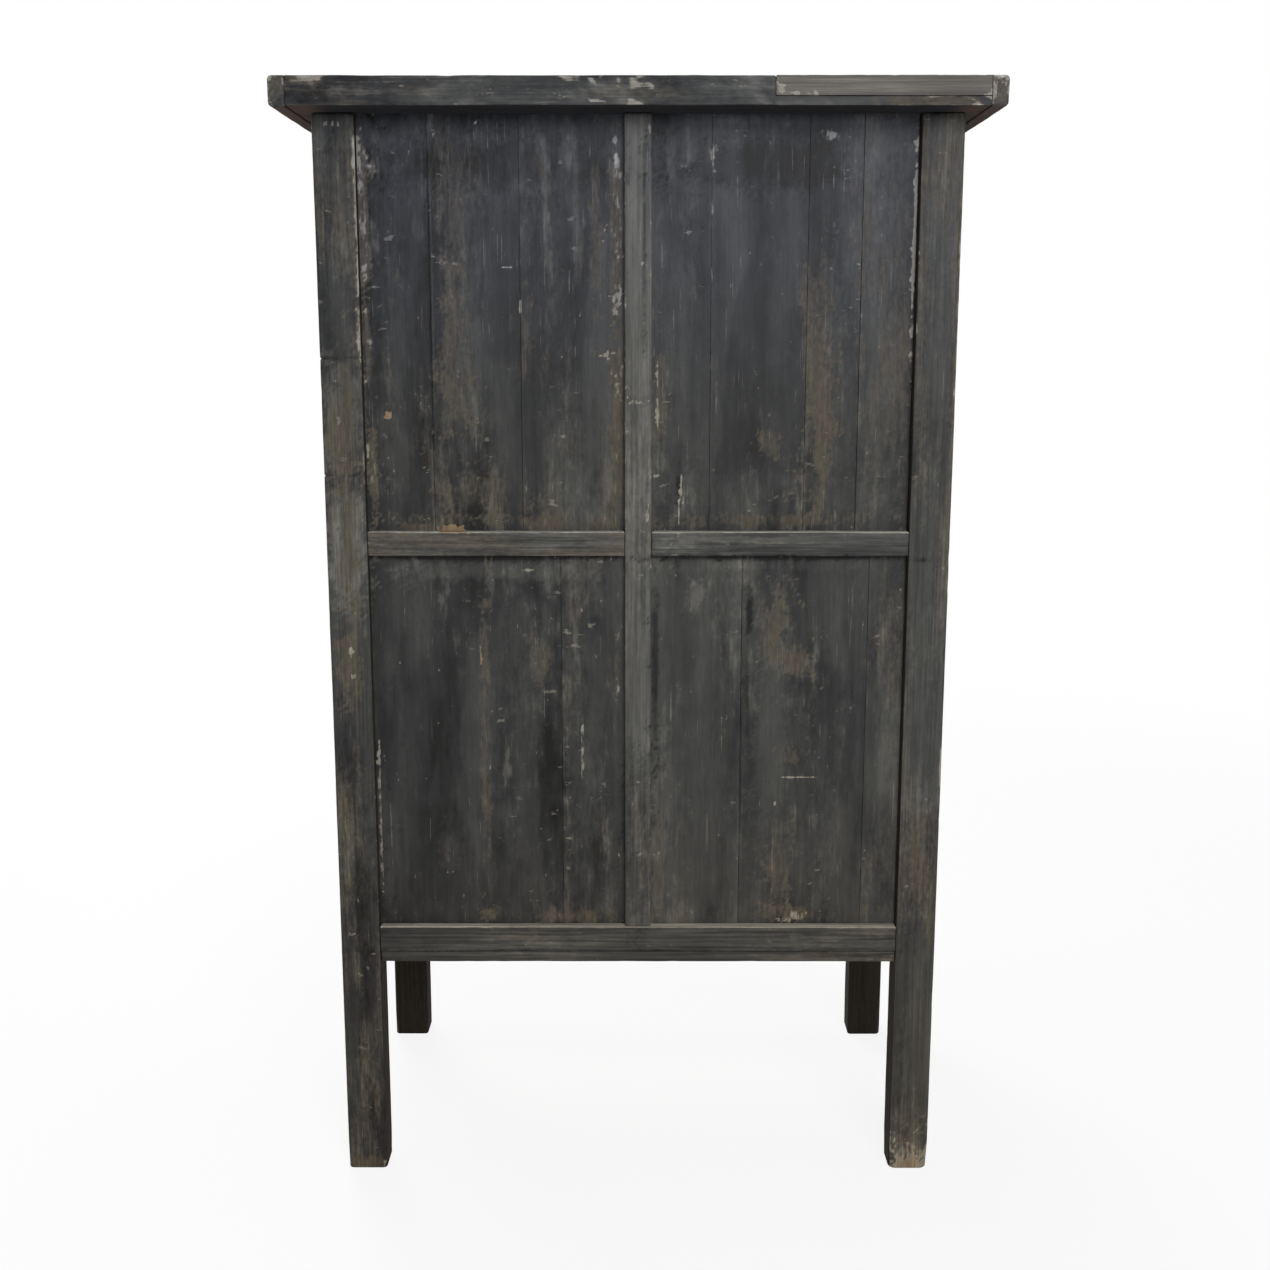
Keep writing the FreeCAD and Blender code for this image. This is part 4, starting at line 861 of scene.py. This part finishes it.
def tongue(low, high, axis):
    """The thin middle of a panel, which closes the seams between its boards and is darker, as painted shade
    in the seams.
    """
    thick = (high[axis] - low[axis]) / 3
    low, high = list(low), list(high)
    low[axis] += thick
    high[axis] -= thick
    return Bar(low, high, Z, arris=0.0005, knock=0, wave=0, step=0.2, cell=0.2, tone=-1)


def back_panels():
    for key, boards in BACK_BOARDS.items():
        node = f"back_panel_{key}"
        low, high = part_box(node)
        on_right = key.startswith("right")
        edge_low, edge_high = list(low), list(high)
        if not on_right:
            # these boards have shrunk clear of the post
            edge_low[X] = -POST_IN + SHRINKAGE
        made = split(edge_low, edge_high, X, boards, BACK_LOOKS, on_right)
        worn_piece(node, made + [tongue(low, high, Y)], PANEL_LACQUER)


def side_panels():
    for side in SIDES:
        for level in ("lower", "upper"):
            node = f"side_panel_{side}_{level}"
            low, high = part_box(node)
            made = split(list(low), list(high), Y, SIDE_BOARDS, BOARD_LOOKS)
            worn_piece(node, made + [tongue(low, high, X)], PANEL_LACQUER)


def top():
    looks = dict(along=X, knock=0.008, wave=0.0012, step=0.01, cell=0.014)
    plank_low, plank_high = {X: -PLANK_END - LET_IN}, {X: PLANK_END + LET_IN}
    for node, arris in (("top_plank_front", 0.004), ("top_plank_middle", 0.001)):
        worn_piece(node, [bar_of(node, low=plank_low, high=plank_high, arris=arris, **looks)], TOP_LACQUER)
    rear_plank(plank_low, plank_high, looks)
    strip = bar_of("top_repair_strip", low=plank_low, arris=0.001, **{**looks, **STRIP_LOOKS})
    worn_piece("top_repair_strip", [strip], REPAIR)
    for side, sign in SIDES.items():
        node = f"top_end_cap_{side}"
        rounds = (CAP_ROUND, CAP_ROUND, 0, 0) if sign > 0 else (0, 0, CAP_ROUND, CAP_ROUND)
        worn_piece(node, [bar_of(node, Y, rounds=rounds, **CAP_LOOKS)], LACQUER[Y])


def rear_plank(plank_low, plank_high, looks):
    """The rear plank, with a rebate for the repair strip along part of its edge."""
    node = "top_plank_rear"
    strip_low, strip_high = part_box("top_repair_strip")
    behind = strip_low.y - LET_IN
    inner = bar_of(node, low=plank_low, high={**plank_high, Y: strip_low.y}, arris=0.001, **looks)
    lip = bar_of(node, low={X: strip_high.x, Y: behind}, high=plank_high, arris=0.003, tone=0.8, **looks)
    below = {X: strip_high.x + LET_IN, Z: strip_low.z}
    under = bar_of(node, low={**plank_low, Y: behind}, high=below, arris=0.001, tone=1.2, **looks)
    worn_piece(node, [inner, lip, under], TOP_LACQUER)


# Doors

PIVOT_RADIUS = 0.008
PIVOT_ROOT = 0.002


def doors():
    for side, sign in SIDES.items():
        body = f"door_{side}"
        stile = f"door_{side}_meeting_stile"
        low_z, high_z = span(stile, Z)
        worn_piece(stile, [bar_of(stile, Z)], LACQUER[Z], body)
        hinge_stile(side, sign, low_z, high_z)
        ends = span(stile, X) + span(f"door_{side}_hinge_stile", X)
        edges = sorted(ends)[1:3]
        for level in ("bottom", "mid", "top"):
            node = f"door_{side}_{level}_rail"
            worn_piece(node, [bar_of(node, X, {X: edges[0]}, {X: edges[1]})], LACQUER[X], body)
        for level in ("lower", "upper"):
            node = f"door_{side}_{level}_panel"
            worn_piece(node, [bar_of(node, **BOARD_LOOKS)], PANEL_LACQUER, body)


def hinge_stile(side, sign, low_z, high_z):
    """A stile with a half-round outer edge and a pivot at each end."""
    node = f"door_{side}_hinge_stile"
    low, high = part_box(node)
    nose = (high.y - low.y) / 2
    rounds = (nose, 0, 0, nose) if sign > 0 else (0, nose, nose, 0)
    bars = [bar_of(node, Z, {Z: low_z}, {Z: high_z}, rounds=rounds)]
    axis_x = (high.x if sign > 0 else low.x) - sign * nose
    axis_y = (low.y + high.y) / 2
    for bottom, top_end in ((low.z, low_z + PIVOT_ROOT), (high_z - PIVOT_ROOT, high.z)):
        corner = {X: axis_x - PIVOT_RADIUS, Y: axis_y - PIVOT_RADIUS, Z: bottom}
        far = {X: axis_x + PIVOT_RADIUS, Y: axis_y + PIVOT_RADIUS, Z: top_end}
        bars.append(bar_of(node, Z, corner, far, arris=0.001, knock=0, wave=0, rounds=(PIVOT_RADIUS,) * 4))
    worn_piece(node, bars, LACQUER[Z], f"door_{side}")


# CAD nodes that keep their own shape

KEPT = {
    "floor_boards": BARE[X],
    "shelf_boards": BARE[X],
    "shelf_bearer_left": BARE[Y],
    "shelf_bearer_right": BARE[Y],
    "top_batten_left": BARE[Y],
    "top_batten_right": BARE[Y],
    "door_stop": BARE[X],
    "rail_pegs": BARE[Z],
    "front_apron": LACQUER[X],
    "apron_spandrel_left": LACQUER[Z],
    "apron_spandrel_right": LACQUER[Z],
    "pull_plate_left": PLATE_BRASS,
    "pull_plate_right": PLATE_BRASS,
    "pull_staple_left": PULL_BRASS,
    "pull_staple_right": PULL_BRASS,
    "drop_pull_left": PULL_BRASS,
    "drop_pull_right": PULL_BRASS,
}
SOFT_EDGE = {"wood": 0.0012, "metal": 0.0004}
SOFT_STEPS = 2
SOFT_FROM_ANGLE = 40


def kept_nodes():
    for node, material in KEPT.items():
        piece = frame["nodes"][node]
        piece.data.materials.clear()
        piece.data.materials.append(material)
        bevel = piece.modifiers.new("soft_edges", "BEVEL")
        bevel.width = SOFT_EDGE["metal" if "pull" in node else "wood"]
        bevel.segments = SOFT_STEPS
        bevel.limit_method = "ANGLE"
        bevel.angle_limit = math.radians(SOFT_FROM_ANGLE)


# Stage: a pale floor, soft lights and the camera

FLOOR_HALF = 20.0
FLOOR_COLOUR = (0.70, 0.70, 0.69, 1)
FLOOR_ROUGHNESS = 0.9
WHITE = (1, 1, 1, 1)
# the share of plain white in the floor near the cabinet, and the distances between which it grows to 1
WHITE_SHARE = 0.86
WHITE_NEAR, WHITE_FAR = 1.2, 4.5
WORLD_LIGHT = 0.27
AREA_LIGHTS = {
    # place, aim, size, watts
    "key": ((-1.0, 4.6, 2.9), (0, 0.2, 0.9), 2.6, 208),
    "overhead": ((0.3, -0.3, 4.2), (0, -0.1, 0), 2.0, 70),
    "front_fill": ((1.8, -4.2, 3.2), (0, -0.2, 0.9), 3.0, 190),
}


def seen_directly(tree):
    """One for the camera and for what it sees reflected or through glass, and zero for other light."""
    path = tree.nodes.new("ShaderNodeLightPath")
    total = None
    for ray in ("Is Camera Ray", "Is Glossy Ray", "Is Transmission Ray"):
        if total is None:
            total = path.outputs[ray]
            continue
        larger = tree.nodes.new("ShaderNodeMath")
        larger.operation = "MAXIMUM"
        tree.links.new(total, larger.inputs[0])
        tree.links.new(path.outputs[ray], larger.inputs[1])
        total = larger.outputs[0]
    return total


def world():
    made = bpy.data.worlds.new("studio")
    made.use_nodes = True
    tree = made.node_tree
    plain = tree.nodes["Background"]
    plain.inputs["Color"].default_value = WHITE
    plain.inputs["Strength"].default_value = WORLD_LIGHT
    white = tree.nodes.new("ShaderNodeBackground")
    white.inputs["Color"].default_value = WHITE
    white.inputs["Strength"].default_value = 1.0
    mix = tree.nodes.new("ShaderNodeMixShader")
    tree.links.new(seen_directly(tree), mix.inputs[0])
    tree.links.new(plain.outputs[0], mix.inputs[1])
    tree.links.new(white.outputs[0], mix.inputs[2])
    tree.links.new(mix.outputs[0], tree.nodes["World Output"].inputs["Surface"])
    bpy.context.scene.world = made


def floor():
    """A pale floor that goes to plain white away from the cabinet."""
    s = Shader("pale_floor")
    distance = s.node("VectorMath", {0: s.place}, operation="LENGTH").outputs["Value"]
    white = s.fade(distance, WHITE_NEAR, WHITE_FAR, WHITE_SHARE, 1.0)
    s.surface.inputs["Base Color"].default_value = FLOOR_COLOUR
    s.surface.inputs["Roughness"].default_value = FLOOR_ROUGHNESS
    glow = s.node("Emission", {"Color": WHITE, "Strength": 1.0})
    seen = s.times(seen_directly(s.tree), white)
    mix = s.node("MixShader", {0: seen, 1: s.surface.outputs[0], 2: glow.outputs[0]})
    s.tree.links.new(mix.outputs[0], s.tree.nodes["Material Output"].inputs["Surface"])
    mesh = bpy.data.meshes.new("floor")
    h = FLOOR_HALF
    mesh.from_pydata([(-h, -h, 0), (h, -h, 0), (h, h, 0), (-h, h, 0)], [], [(0, 1, 2, 3)])
    mesh.materials.append(s.material)
    plane = bpy.data.objects.new("floor", mesh)
    bpy.context.scene.collection.objects.link(plane)


def lights():
    for name, (place, aim, size, watts) in AREA_LIGHTS.items():
        data = bpy.data.lights.new(name, "AREA")
        data.shape = "DISK"
        data.size = size
        data.energy = watts
        lamp = bpy.data.objects.new(name, data)
        lamp.location = place
        lamp.rotation_euler = (Vector(aim) - Vector(place)).to_track_quat("-Z", "Y").to_euler()
        bpy.context.scene.collection.objects.link(lamp)


CAMERA_PLACE = (0.0, 2.750, 1.401)
CAMERA_TILT = 10.615
CAMERA_TURN = 180.114
FOCAL_PIXELS = 1540.8
PHOTO_PIXELS = 1270


def camera():
    """The camera behind the cabinet, a little below its top and tilted down."""
    data = bpy.data.cameras.new("camera")
    data.sensor_fit = "HORIZONTAL"
    data.lens = data.sensor_width * FOCAL_PIXELS / PHOTO_PIXELS
    eye = bpy.data.objects.new("camera", data)
    eye.location = CAMERA_PLACE
    eye.rotation_euler = (math.radians(90 - CAMERA_TILT), 0, math.radians(CAMERA_TURN))
    bpy.context.scene.collection.objects.link(eye)
    bpy.context.scene.camera = eye
    bpy.context.scene.view_settings.view_transform = "Standard"


posts()
frame_rails()
back_panels()
side_panels()
top()
doors()
kept_nodes()
world()
floor()
lights()
camera()
